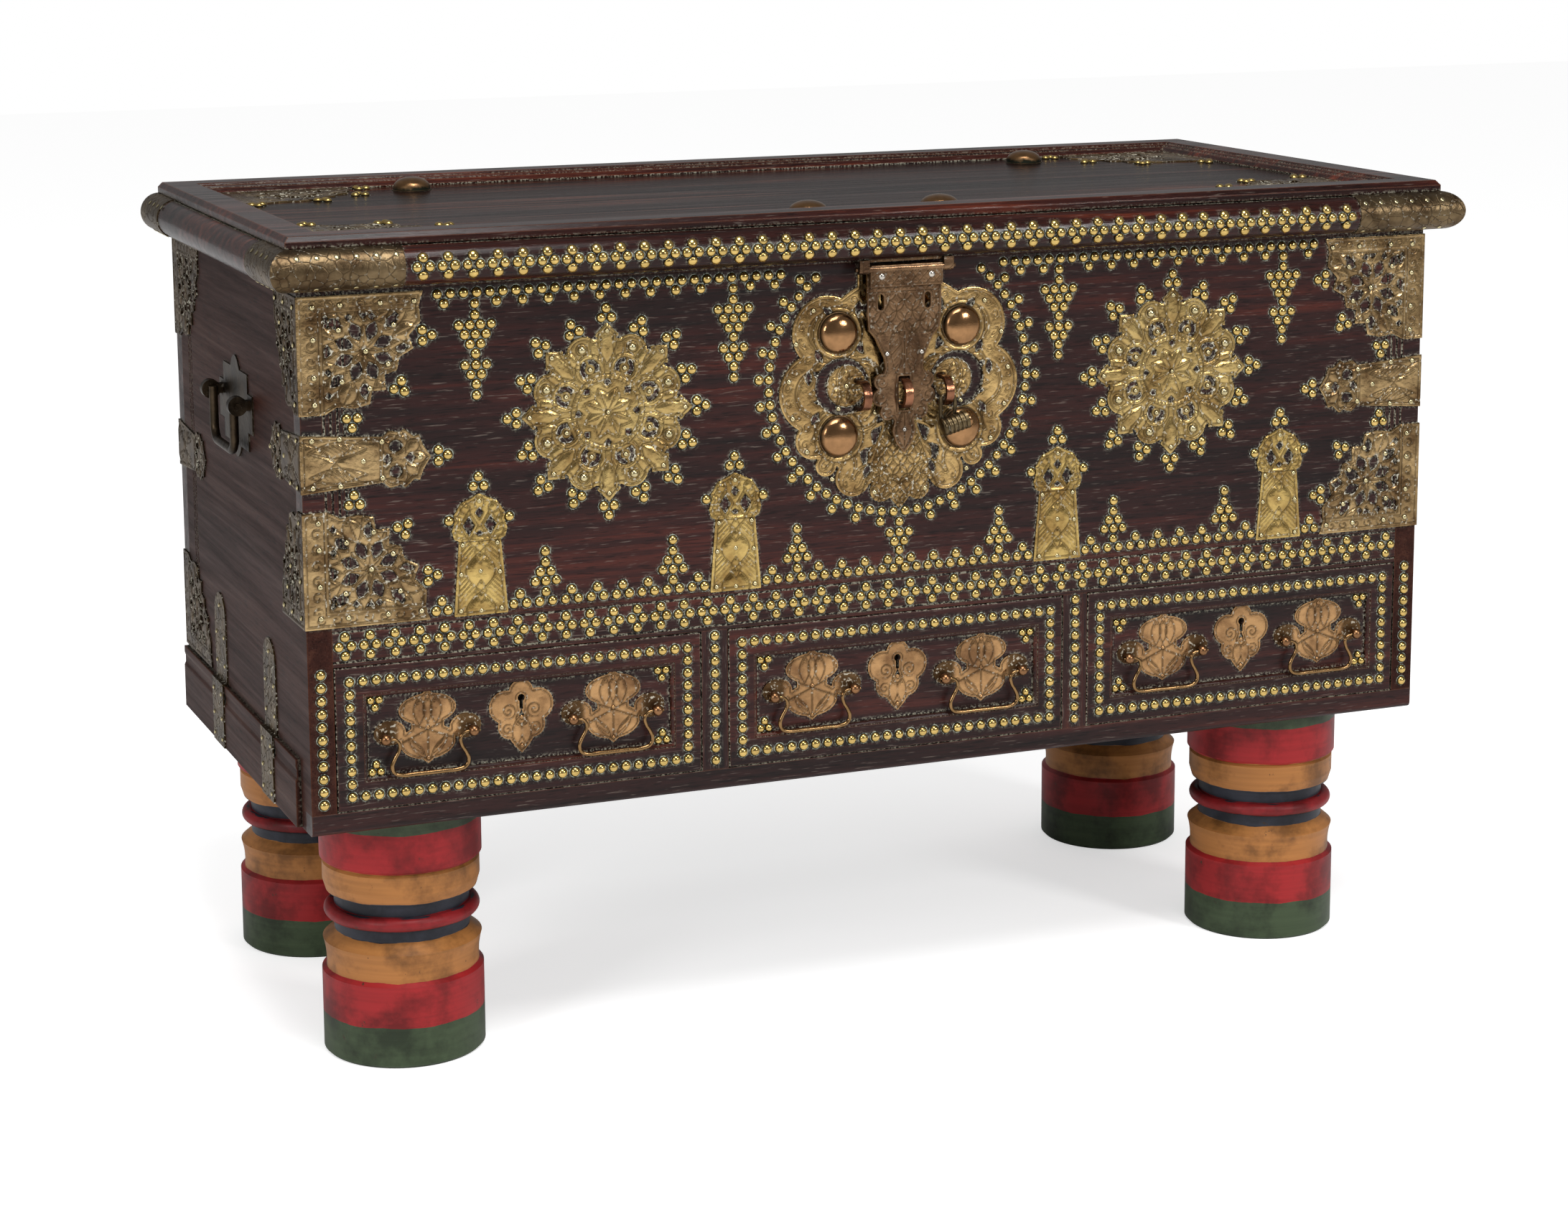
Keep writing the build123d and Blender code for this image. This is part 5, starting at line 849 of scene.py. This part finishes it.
def strap_pattern(length, height, edge):
    """Pattern of a strap, from its distance to the chest's corner."""

    def pattern(p, low, high, deep):
        a, b = edge(p, low, high), p[:, 2] - (low[2] + high[2]) / 2
        # Drawn on a strap 122 mm long and 55 mm wide, with its head from 78 mm
        a, b = a * 122 / length, b * 55 / height
        head = a - 78.08
        cross = np.abs(b) - 21 * np.abs(np.cos(np.pi * a / 66))
        leaf = np.minimum(almond(a, np.abs(b) - 12, 8, 62, 7), -head - 2)
        eyes = np.hypot((a - 90) / 1.1, np.abs(b) - 12) - 5.4
        gem = np.abs(a - 104) + np.abs(b) - 5.0
        wedge = np.abs(a - 82) + np.abs(b) * 0.8 - 4.2
        cuts = np.minimum(-np.minimum.reduce([eyes, gem, wedge]), deep - 2.5)
        petal = np.minimum(almonds(a - 95, b, 8, 0.0, 6, 26, 6), head)
        relief = 0.7 * swell(leaf, 5) + 0.8 * swell(-cross * (head < -3), 7) + 0.9 * swell(petal, 4)
        relief = (relief + 0.6 * groove(head + 1, 1.4)) * swell(deep, 2.5) + 0.5 * groove(deep - 1.6, 1.1)
        shaft = head < -3
        lines = np.maximum.reduce([groove(cross, 0.7) * shaft, groove(leaf, 0.55), groove(head + 3, 0.6),
                                   groove(head, 0.5), groove(petal, 0.55), groove(cuts, 1.0),
                                   groove(deep - 3.4, 0.55), groove(tile(a + b, 5), 0.4) * (leaf > 1.5)])
        return cut_sheet(relief, lines, cuts)

    return pattern


bronze_brass = sheet_brass("chased_sheet_brass_brown", "#b2966a", "#654e34", 0.2, pale=0.75)
worn_brass = sheet_brass("chased_sheet_brass_dark", "#6d5a40", "#42352a", 0.4, pale=0.8)
# In millimetres, as are the distances below: the chest's faces outside the sheet, and a height
# between the upper and the lower plates
front_y = (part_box("front_board")[0].y - plate_t) * 1000
back_y = (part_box("back_board")[1].y + plate_t) * 1000
side_x = (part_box("front_board")[1].x + plate_t) * 1000
plates_middle_z = 600


def from_corner_x(p, low, high):
    """Distance to the chest's side."""
    return side_x - np.abs(p[:, 0])


def from_front(p, low, high):
    """Distance to the chest's front."""
    return p[:, 1] - front_y


def from_back(p, low, high):
    """Distance to the chest's back."""
    return back_y - p[:, 1]


def from_straight_z(p, low, high):
    """Distance to a plate's straight edge, at the top of an upper one and the foot of a lower one."""
    upper = (low[2] + high[2]) / 2 > plates_middle_z
    return high[2] - p[:, 2] if upper else p[:, 2] - low[2]


plate_fronts = corner_pattern(118.5, 110, from_corner_x, from_straight_z)
plate_sides = corner_pattern(85, 110, from_front, from_straight_z)
strap_fronts, strap_sides = strap_pattern(122.5, 55, from_corner_x), strap_pattern(115, 55, from_front)
for name, on_front, on_side in (("plate", plate_fronts, plate_sides), ("strap", strap_fronts, strap_sides)):
    node = f"front_corner_{name}s"
    chased_piece(f"chased_corner_{name}s", node, bronze_brass, on_front, [front])
    chased_piece(f"chased_corner_{name}_sides", node, worn_brass, on_side, both_sides, stands_in=False)

# The size of a mesh's cells on plates that are seen from further away
coarse = 0.0017
# Further than any point is from a hole, in millimetres
unpierced = 99.0


def rear_side_pattern(p, low, high, deep):
    """Pattern of a rear plate or of the strap between them, which is less than 80 mm high."""
    if high[2] - low[2] < 80:
        return strap_pattern(126, 49, from_back)(p, low, high, deep)
    return corner_pattern(122, 103, from_back, from_straight_z)(p, low, high, deep)


def rear_back_pattern(p, low, high, deep):
    """Pattern of a rear plate's narrow end on the back board, in low relief and not pierced."""
    relief, tarnish, _ = corner_pattern(45, 103, from_corner_x, from_straight_z)(p, low, high, deep)
    return relief * 0.6, tarnish, np.full(len(p), unpierced)


bm = bmesh.new()
for out in both_sides:
    add_sheets(bm, "rear_corner_plates", out, rear_side_pattern, coarse)
add_sheets(bm, "rear_corner_plates", (0, 1, 0), rear_back_pattern, coarse)
new_piece("chased_rear_corner_plates", bm, worn_brass, "carcase", "plate_brass", "rear_corner_plates")


# How far a nail's foot stands off the plate's face, for the relief under it
nail_lift = 0.0002


def nail_corner(bm, way, face, on_front, on_side):
    """Nails one front corner. Places are millimetres from the corner and metres from the floor."""
    for a, z in on_front:
        place = (way * ((side_x - a) / 1000 - plate_t), face - nail_lift, z)
        add_dome(bm, rivet, place, front, 0.0028, 0.0019)
    for a, z in on_side:
        place = (way * (side_x / 1000 + nail_lift), (front_y + a) / 1000 + plate_t, z)
        add_dome(bm, rivet, place, (way, 0, 0), 0.0027, 0.0018)


# Nails: millimetres from the chest's corner, and from a plate's straight edge or a strap's middle
plate_nails = [(14, 10), (40, 9), (78, 9), (110, 9), (14, 40), (14, 75), (14, 100), (63, 53), (38, 32),
               (90, 30), (40, 80), (84, 66), (66, 88)]
plate_side_nails = [(10, 10), (45, 9), (76, 9), (10, 45), (10, 100), (45, 53), (60, 30)]
strap_nails = [(36, 22), (36, -22), (58, 0), (76, 17), (76, -17), (112, 0), (10, 22), (10, -22)]
bm = bmesh.new()
for way in (-1, 1):
    low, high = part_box("front_corner_plates")
    on_front, on_side = ([(a, z) for a, b in nails for z in (high.z - b / 1000, low.z + b / 1000)]
                         for nails in (plate_nails, plate_side_nails))
    nail_corner(bm, way, low.y, on_front, on_side)
    low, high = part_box("front_corner_straps")
    on_strap = [(a, (low.z + high.z) / 2 + b / 1000) for a, b in strap_nails]
    nail_corner(bm, way, low.y, on_strap, on_strap)
new_piece("corner_plate_nails", bm, rivet_brass, "carcase", "plate_brass")

# --- Minaret plates -------------------------------------------------------------------------------
# Four tall plates of bright sheet brass that stand on the drawer rail: a tapered shaft chased
# with linked leaves, and a pierced onion head.


def minaret_pattern(p, low, high, deep):
    """Pattern of a minaret: links 38 mm high up its shaft, and an onion head from 73 mm."""
    x, z = p[:, 0] - (low[0] + high[0]) / 2, p[:, 2] - low[2]
    side = np.abs(x)
    shaft = 73 - z
    link = side - 14.5 * np.abs(np.cos(np.pi * (z - 4) / 38))
    bud = almond((z - 4) % 38, x, 8, 30, 5)
    eye = np.maximum(np.abs(z - 86) * 0.62 + np.abs(side - 10.5) - 5.6, 4.5 - side)
    crest = almonds(x, z - 84, 10, 0.5, 15, 33, 4.6) * (z > 80)
    gem = np.abs(x) + np.abs(z - 98) * 0.8 - 3.9
    foot_gem = np.abs(x) * 0.7 + np.abs(z - 78) - 2.6
    cuts = np.minimum(-np.minimum.reduce([eye, gem, foot_gem]), deep - 2.5)
    heart = 9.2 - np.abs(z - 86) * 0.62 - np.abs(side - 10.5)
    relief = 0.9 * swell(-link, 8) * (shaft > 0) + 0.7 * swell(np.minimum(bud, shaft), 4)
    relief += 0.8 * swell(heart, 4) + 0.9 * swell(crest, 4)
    relief = (relief + 0.6 * groove(shaft, 1.4)) * swell(deep, 2.5) + 0.5 * groove(deep - 1.6, 1.1)
    hatch = groove(tile(z + side, 5.0), 0.35) * (link > 2) * (shaft > 3) * (deep > 3.5)
    lines = np.maximum.reduce([groove(link, 0.65) * (shaft > 1), groove(bud, 0.5) * (shaft > 1), hatch,
                               groove(heart, 0.6), groove(crest, 0.55) * (z > 80), groove(shaft - 2, 0.5),
                               groove(shaft + 2, 0.5), groove(cuts, 1.0), groove(deep - 3.2, 0.5)])
    return cut_sheet(relief, lines, cuts, shade=0.8)


bright_brass = sheet_brass("chased_sheet_brass_bright", "#c7aa68", "#86693b", 0.2, pale=0.7)
chased_piece("chased_minaret_plates", "minaret_plates", bright_brass, minaret_pattern, [front])
bm = bmesh.new()
low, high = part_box("minaret_plates")
for rim in face_outlines("minaret_plates", Vector(front)):
    x = (rim[..., 0].min() + rim[..., 0].max()) / 2
    for u, v in [(0, 4), (20, 5), (-20, 5), (19, 40), (-19, 40), (0, 42), (0, 109), (17, 68), (-17, 68)]:
        add_dome(bm, rivet, (x + u / 1000, low.y - nail_lift, low.z + v / 1000), front, 0.0024, 0.0018)
new_piece("minaret_nails", bm, rivet_brass, "carcase", "plate_brass")

# --- Base straps ----------------------------------------------------------------------------------
# Upright straps of sheet brass that clasp the base moulding on each side, dark with handling and
# never polished. They are nailed through the moulding and the side board.
strap_brass = sheet_brass("engraved_sheet_brass_dark", "#64502f", "#3b2f20", 0.42, pale=1.0, engraved=0.85)
finish_node("base_straps", strap_brass)
bm = bmesh.new()
low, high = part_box("base_straps")
half_width, moulding_t = 0.024, 0.005
# Nails in pairs up to the strap's point: height from its foot, and depth behind the moulding's face
nails = [(0.008, 0), (0.03, 0), (0.056, 0), (0.085, moulding_t), (0.115, moulding_t), (0.146, moulding_t)]
for way in (-1, 1):
    for middle in (low.y + half_width, high.y - half_width):
        for rise, inset in nails:
            for side in (-0.017, 0.017) if (rise, inset) != nails[-1] else (0.0,):
                place = (way * (high.x - inset - nail_lift), middle + side, low.z + rise)
                add_dome(bm, rivet, place, (way, 0, 0), 0.0025, 0.0017)
new_piece("base_strap_nails", bm, rivet_brass, "carcase", "plate_brass")

# --- Lid plates and sleeves -----------------------------------------------------------------------
# Leafy plates of sheet brass lie in the lid's four corners, and sleeves of thinner sheet are
# beaten round the edge moulding at its corners, with a row of nails along each edge.
lid_panel_half = 562


def from_lid_side(p, low, high):
    """Distance to the side of the lid's panel, in millimetres."""
    return lid_panel_half - np.abs(p[:, 0])


def from_lid_edge(p, low, high):
    """Distance to a plate's straight edge: the rear one of a rear plate, or else the front one."""
    return np.where(low[1] > 0, high[1] - p[:, 1], p[:, 1] - low[1])


lid_plate_pattern = corner_pattern(140, 115, from_lid_side, from_lid_edge)
chased_piece("chased_lid_plates", "lid_top_plates", bronze_brass, lid_plate_pattern, [(0, 0, 1)], coarse)
sleeve_brass = sheet_brass("engraved_sheet_brass_rubbed", "#76644a", "#4a3b2a", 0.36, pale=0.5, engraved=0.6)
finish_node("lid_edge_sleeves", sleeve_brass)
bm = bmesh.new()
nose_r, nose_z = 0.01965, 0.78896
nail_r, nail_h = 0.0026, 0.0008
low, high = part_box("lid_edge_sleeves")
steps = [0.03 + 0.019 * i for i in range(4)]
for way in (-1, 1):
    # A row under the nose and one over it, by their angle round it
    for angle in (-58, 40):
        level, rise = around(1, angle)
        z = nose_z + nose_r * rise
        for i in range(6):
            place = (way * (0.605 - 0.0185 * i), low.y + nose_r * (1 - level), z)
            add_dome(bm, rivet, place, (0, -level, rise), nail_r, nail_h)
        for y in [low.y + step for step in steps] + [high.y - step for step in steps]:
            place = (way * (high.x - nose_r * (1 - level)), y, z)
            add_dome(bm, rivet, place, (way * level, 0, rise), nail_r, nail_h)
new_piece("sleeve_nails", bm, rivet_brass, "lid", "plate_brass")

# --- Hasp -----------------------------------------------------------------------------------------
# A heavy cast hasp pinned under the lid: chased with a hatched band, scales, a leaf and curls,
# and slotted for the middle staple. It is a darker, pinker bronze than the plates.
hasp_bronze = sheet_brass("cast_bronze_hasp", "#8a6c50", "#5a4331", 0.27, pale=0.4)
finish_node("hasp", hasp_bronze)
leaf_bronze = sheet_brass("engraved_bronze_hinge_leaf", "#866a4f", "#564030", 0.26, pale=0.5, engraved=0.5)
finish_node("hasp_leaf", leaf_bronze)
# The pin's height in millimetres, and how far back the chasing reaches into the cast metal
hasp_pin_z = 760.96
thin = 0.0004


def crosshatch(side, drop):
    """Chased lines that cross both ways, from 0 to 1."""
    return np.maximum(groove(tile(side + drop, 9.0), 0.5), groove(tile(side - drop, 9.0), 0.5))


def hasp_pattern(p, low, high, deep):
    """Pattern of the hasp, from its middle line and down from its pin."""
    side, drop = np.abs(p[:, 0]), hasp_pin_z - p[:, 2]
    band = np.minimum(drop - 5, 23 - drop)
    hatch = crosshatch(side, drop) * (band > 1.5)
    scale_rows = rings(side, drop * 0.8, 17.0) * (drop > 25) * (drop < 66) * (deep > 2)
    stem = groove(side, 0.6) * (drop > 62) * (drop < 104)
    leaf = almond(drop * 0.95 + side * 0.5, side - 9, 58, 104, 6.5)
    curl_places = ((24, 112, 7.0), (25, 127, 7.5), (17, 142, 7.0))
    curls = sum(curl(side - u, drop - v, 4.6, size) for u, v, size in curl_places)
    tip = almond(drop, side, 139, 180, 8.5)
    relief = 0.45 * swell(band, 3) + 0.7 * swell(leaf, 4) + 0.8 * swell(tip, 5) + 0.35
    relief = relief * swell(deep, 1.6) + 0.15
    veins = groove(tile(drop - side, 4.2), 0.4) * (leaf > 1.6)
    lines = np.maximum.reduce([groove(band, 0.5), hatch, scale_rows, stem, groove(leaf, 0.5), veins,
                               np.clip(curls, 0, 1), groove(tip, 0.6), groove(side, 0.5) * (tip > 2),
                               groove(deep - 2.2, 0.5)])
    return np.clip(relief - 0.4 * lines, 0.05, 0.95), 0.8 * lines, np.full(len(p), unpierced)


bm = bmesh.new()
add_sheets(bm, "hasp", front, hasp_pattern, fine, thin)
new_piece("hasp_chasing", bm, hasp_bronze, "hasp", "old_brass")


def hatched(p, low, high, deep):
    """Pattern of a hatched band."""
    side, drop = p[:, 0], p[:, 2] - low[2]
    lines = np.maximum(crosshatch(side, drop) * (deep > 2.2), groove(deep - 1.8, 0.5))
    return 0.5 * swell(deep, 1.5) - 0.4 * lines, 0.8 * lines, np.full(len(p), unpierced)


# The hatched band lies over the hasp's knuckle
bm = bmesh.new()
band_y, band_low, band_high, half = -0.2733, hasp_pin_z / 1000 - 0.0175, hasp_pin_z / 1000 + 0.0035, 0.0385
corners = [(-half, band_low), (half, band_low), (half, band_high), (-half, band_high)]
corners = [Vector((x, band_y, z))[:] for x, z in corners]
band_rim = np.array(list(zip(corners, corners[1:] + corners[:1])))
band_t = 0.005
chase_outline(bm, band_rim, Vector(front), hatched, fine, band_t)
new_piece("hasp_band", bm, hasp_bronze, "hasp", "old_brass")
silver_rivets = polished_metal("filed_pale_rivets", "#cdc6bb", "#3a342b", 0.22)
bm = bmesh.new()
hasp_y = -0.2678
rivets = [(0.0265, 7, 0.0036, band_y), (0.0185, 84, 0.0026, hasp_y), (0, 160, 0.0024, hasp_y)]
for way in (-1, 1):
    for x, drop, size, y in rivets:
        add_dome(bm, rivet, (way * x, y, (hasp_pin_z - drop) / 1000), front, size, 0.0022)
new_piece("hasp_rivets", bm, silver_rivets, "hasp", "old_brass")

# --- Staples --------------------------------------------------------------------------------------
# Three flat bands of copper alloy bent to a bow, with their legs clenched inside the board.
finish_node("staples", sheet_brass("bent_copper_alloy_bands", "#94654b", "#5f3f30", 0.25, pale=0.25))

# --- Hanging lock ---------------------------------------------------------------------------------
# A small barrel lock on a wire loop through the right staple: a ribbed case of cast bronze with
# a domed copper cap. It turns up and out on its loop.


def add_turned(bm, profile, place, out, segments=28):
    """Adds a turned shape: a line of (radius, height) in millimetres spun round an axis."""
    made = bmesh.new()
    line = [made.verts.new((r / 1000, 0, h / 1000)) for r, h in profile]
    edges = [made.edges.new(pair) for pair in zip(line, line[1:])]
    bmesh.ops.spin(made, geom=line + edges, cent=(0, 0, 0), axis=(0, 0, 1), angle=math.tau, steps=segments,
                   use_merge=True)
    bmesh.ops.remove_doubles(made, verts=made.verts, dist=1e-6)
    bmesh.ops.recalc_face_normals(made, faces=made.faces)
    for f in made.faces:
        f.smooth = True
    for e in made.edges:
        e.smooth = len(e.link_faces) == 2 and e.calc_face_angle() < 0.9
    turn = Vector(out).to_track_quat("Z", "Y").to_matrix().to_4x4()
    bmesh.ops.transform(made, verts=made.verts, matrix=Matrix.Translation(place) @ turn)
    shape = bpy.data.meshes.new("turned")
    made.to_mesh(shape)
    made.free()
    bm.from_mesh(shape)
    bpy.data.meshes.remove(shape)


def add_wire(bm, points, radius):
    """Adds a round wire through points of (x, y, z, share of the radius), in metres."""
    path = bpy.data.curves.new("wire", "CURVE")
    path.dimensions = "3D"
    path.bevel_depth = radius
    path.bevel_resolution = 3
    path.use_fill_caps = True
    path.resolution_u = 6
    line = path.splines.new("BEZIER")
    line.bezier_points.add(len(points) - 1)
    for knot, (x, y, z, share) in zip(line.bezier_points, points):
        knot.co = (x, y, z)
        knot.radius = share
        knot.handle_left_type = knot.handle_right_type = "AUTO"
    holder = bpy.data.objects.new("wire", path)
    shape = bpy.data.meshes.new_from_object(holder)
    bm.from_mesh(shape)
    bpy.data.objects.remove(holder)
    bpy.data.curves.remove(path)
    bpy.data.meshes.remove(shape)


tilt = math.radians(15)
lock_axis = Vector((math.cos(tilt), 0, math.sin(tilt)))
# The case: the middle of its foot, and its profile as radius and height in millimetres
lock_end = Vector((0.0515, -0.27855, 0.60596)) - lock_axis * 0.0175
bm = bmesh.new()
case = [(0, 0), (6.5, 0), (8.6, 0.8), (9.3, 2.4), (9.3, 4.0), (8.3, 4.8)]
for start in (6.0, 10.5, 15.0, 19.5):
    case += [(8.3, start), (9.4, start + 0.7), (9.4, start + 2.2), (8.3, start + 2.9)]
case += [(8.3, 24.4), (9.4, 25.0), (9.4, 28.2), (8.2, 28.9), (0, 28.9)]
add_turned(bm, case, lock_end, lock_axis)
# The loop's line, from its crown inside the staple: millimetres across and down
loop_x, loop_y, crown = 0.044, -0.27385, 0.63296
loop = [(-7.5, -29.2), (-7.5, -18), (-7.5, -5.2), (-6.3, -1.3), (-3, 0)]
loop += [(-u, v) for u, v in reversed(loop)]
add_wire(bm, [(loop_x + u / 1000, loop_y, crown + v / 1000, 1.0) for u, v in loop], 0.002)
lock_bronze = sheet_brass("cast_bronze_lock", "#75654a", "#453a2a", 0.32, pale=0.5)
new_piece("lock_case", bm, lock_bronze, "hanging_lock", "old_brass", "hanging_lock")
bm = bmesh.new()
cap = [(u, 28.9 + v * 6.1 / 9.3) for u, v in (around(9.3, turn) for turn in range(0, 90, 10))]
add_turned(bm, [(0, 28.5), (9.3, 28.5)] + cap + [(0, 35)], lock_end, lock_axis)
new_piece("lock_cap", bm, boss_copper, "hanging_lock", "old_brass")

# --- Drawers --------------------------------------------------------------------------------------
# Three drawers with rosewood fronts and plain boxes. Each front is a flat frame, with an ovolo
# down to its panel. Bail plates and a keyhole plate of coppery brass are chased with leaves.


def bail_plate_pattern(p, low, high, deep):
    """Pattern of a drawer's plates, from each one's middle line and foot."""
    x, z = p[:, 0] - (low[0] + high[0]) / 2, p[:, 2] - low[2]
    side = np.abs(x)
    # Bail plates are wide, and the keyhole plates narrow
    if high[0] - low[0] > 75:
        fan = almond(z + side * 0.15, side - 0.72 * np.maximum(z - 6, 0) - 4, 4, 30, 4.2)
        stem = groove(side, 0.6) * (z > 6) * (z < 40)
        cross = groove(np.abs(z - 33) - side * 0.42, 0.7) * (side < 24)
        crown = almond(z, side - 8, 38, 66, 5.5)
        bud = almond(z, side, 40, 66, 4.5)
        collar = 27 - np.hypot(side, z - 49)
        wing = almond(side, z - 33 - 0.1 * side, 29, 52, 6.0)
        vein = groove(tile(z - side * 0.8, 5.2), 0.45) * (fan > 1.2)
        relief = 0.6 * swell(fan, 3) + 0.7 * swell(crown, 4) + 0.6 * swell(bud, 3) + 0.6 * swell(wing, 4)
        lines = np.maximum.reduce([groove(fan, 0.5), stem, cross, groove(crown, 0.55), groove(bud, 0.5), vein,
                                   groove(wing, 0.5), groove(collar - 3, 0.5) * (z > 42)])
        dark = swell(side - 27, 6) * 0.75
    else:
        curls = curl(side - 13, z - 42, 4.6, 8.5) + curl(side - 14, z - 24, 4.2, 6.0)
        leaf = almond(z, side - 4.5, 8, 34, 5.0)
        bud = 5.5 - np.hypot(x, z - 34)
        relief = 0.6 * swell(leaf, 4) + 0.7 * swell(bud, 4)
        lines = np.maximum.reduce([np.clip(curls, 0, 1), groove(leaf, 0.5), groove(bud, 0.6),
                                   groove(np.abs(z - 6) + side - 4, 0.5)])
        dark = 0.0
    relief = (relief + 0.15) * swell(deep, 1.6) + 0.1
    lines = np.maximum(lines, groove(deep - 1.9, 0.45)) * (deep > 0.9)
    tarnish = np.maximum(0.8 * lines, dark)
    return np.clip(relief - 0.4 * lines, 0.03, 0.85), tarnish, np.full(len(p), unpierced)


bail_copper = sheet_brass("chased_coppery_brass", "#b48c60", "#74553a", 0.22, pale=0.65)
post_copper = polished_metal("turned_coppery_brass", "#8e6848", "#2a2018", 0.3)
bail_brass = polished_metal("drawn_brass_bail", "#8a6c48", "#3a2a1a", 0.2)
box_wood = rosewood("plain_drawer_box_wood", 1, "#3f2c20", "#5a4030", "#735440", 0.6, wear=0.2, residue=0.0)
drawer_pitch, panel_inset, moulding, panel_y = 0.393, 0.027, 0.0042, -0.25035
plates_relief, bail_x, bail_y, bail_z, wire_r = 0.0016, 0.0925, -0.25915, 0.34215, 0.00218
# A bail's wire, from the middle between its posts: millimetres across and up, and its thickness
bail_line = [(-49, 0, 0.72), (-40.5, 0, 0.72), (-34.3, -0.9, 0.74), (-30, -5, 0.78), (-30.6, -12, 0.84),
             (-35, -20, 0.9), (-37.3, -27, 0.92), (-35, -33, 0.94), (-29, -35.6, 0.96), (-14, -36, 1.0)]
bail_line += [(-u, v, share) for u, v, share in reversed(bail_line)]
for side, x in (("left", -drawer_pitch), ("middle", 0.0), ("right", drawer_pitch)):
    drawer = f"{side}_drawer"
    finish_node(f"{drawer}_front", front_wood)
    finish_node(f"{drawer}_box", box_wood)
    finish_node(f"{drawer}_plates", post_copper)
    bm = bmesh.new()
    low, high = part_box(f"{drawer}_front")
    width, height = high.x - low.x - 2 * panel_inset, high.z - low.z - 2 * panel_inset
    upright = Matrix.Rotation(math.pi / 2, 4, "X") @ Matrix.Diagonal((width, height, 1, 1))
    place = Matrix.Translation(((low.x + high.x) / 2, panel_y, (low.z + high.z) / 2)) @ upright
    bmesh.ops.create_grid(bm, x_segments=1, y_segments=1, size=0.5, matrix=place)
    panel = bm.faces[:]
    ring = bmesh.ops.inset_region(bm, faces=panel, thickness=moulding, use_boundary=True,
                                  use_even_offset=True)["faces"]
    bmesh.ops.delete(bm, geom=panel, context="FACES")
    moved = bmesh.ops.extrude_face_region(bm, geom=ring)["geom"]
    raised = [v for v in moved if isinstance(v, bmesh.types.BMVert)]
    bmesh.ops.translate(bm, verts=raised, vec=(0, -moulding, 0))
    bmesh.ops.recalc_face_normals(bm, faces=bm.faces)
    # Only the inner arris is rounded
    reach = min(abs(v.co.x - place.translation.x) for v in raised)
    arris = [e for e in bm.edges if all(v in raised for v in e.verts)
             and all(abs(v.co.x - place.translation.x) < reach + 1e-5 for v in e.verts)]
    bmesh.ops.bevel(bm, geom=arris, offset=moulding * 0.9, segments=5, profile=0.5, affect="EDGES",
                    material=-1)
    new_piece(f"{drawer}_ovolo", bm, rail_wood, drawer, "rosewood")

    bm = bmesh.new()
    add_sheets(bm, f"{drawer}_plates", front, bail_plate_pattern, fine, thin)
    for u, v in [(-92.5, 36), (92.5, 36), (-92.5, -24), (92.5, -24), (-92.5, 6), (92.5, 6), (0, 6), (0, -22)]:
        add_dome(bm, rivet, (x + u / 1000, panel_y - plates_relief, bail_z + v / 1000), front, 0.0022, 0.0018)
    new_piece(f"{drawer}_chasing", bm, bail_copper, drawer, "copper_brass")
    for hand, way in (("left", -1), ("right", 1)):
        bm = bmesh.new()
        wire = [(x + way * bail_x + u / 1000, bail_y, bail_z + v / 1000, share) for u, v, share in bail_line]
        add_wire(bm, wire, wire_r)
        bail = f"{drawer}_{hand}_bail"
        new_piece(f"swan_neck_{bail}", bm, bail_brass, body_of(bail), "copper_brass", bail)

# --- Side handles and hinges ----------------------------------------------------------------------
# Heavy carrying handles hang from eyes on plates at the sides, and straps at the back carry the
# lid. All are dark forged metal, brown with old oil.
forged = sheet_brass("forged_dark_metal", "#4c4032", "#2a241d", 0.42, pale=0.25)
for name in ("left_handle_plate", "right_handle_plate", "left_side_bail", "right_side_bail",
             "back_hinge_straps", "lid_hinge_straps"):
    finish_node(name, forged)
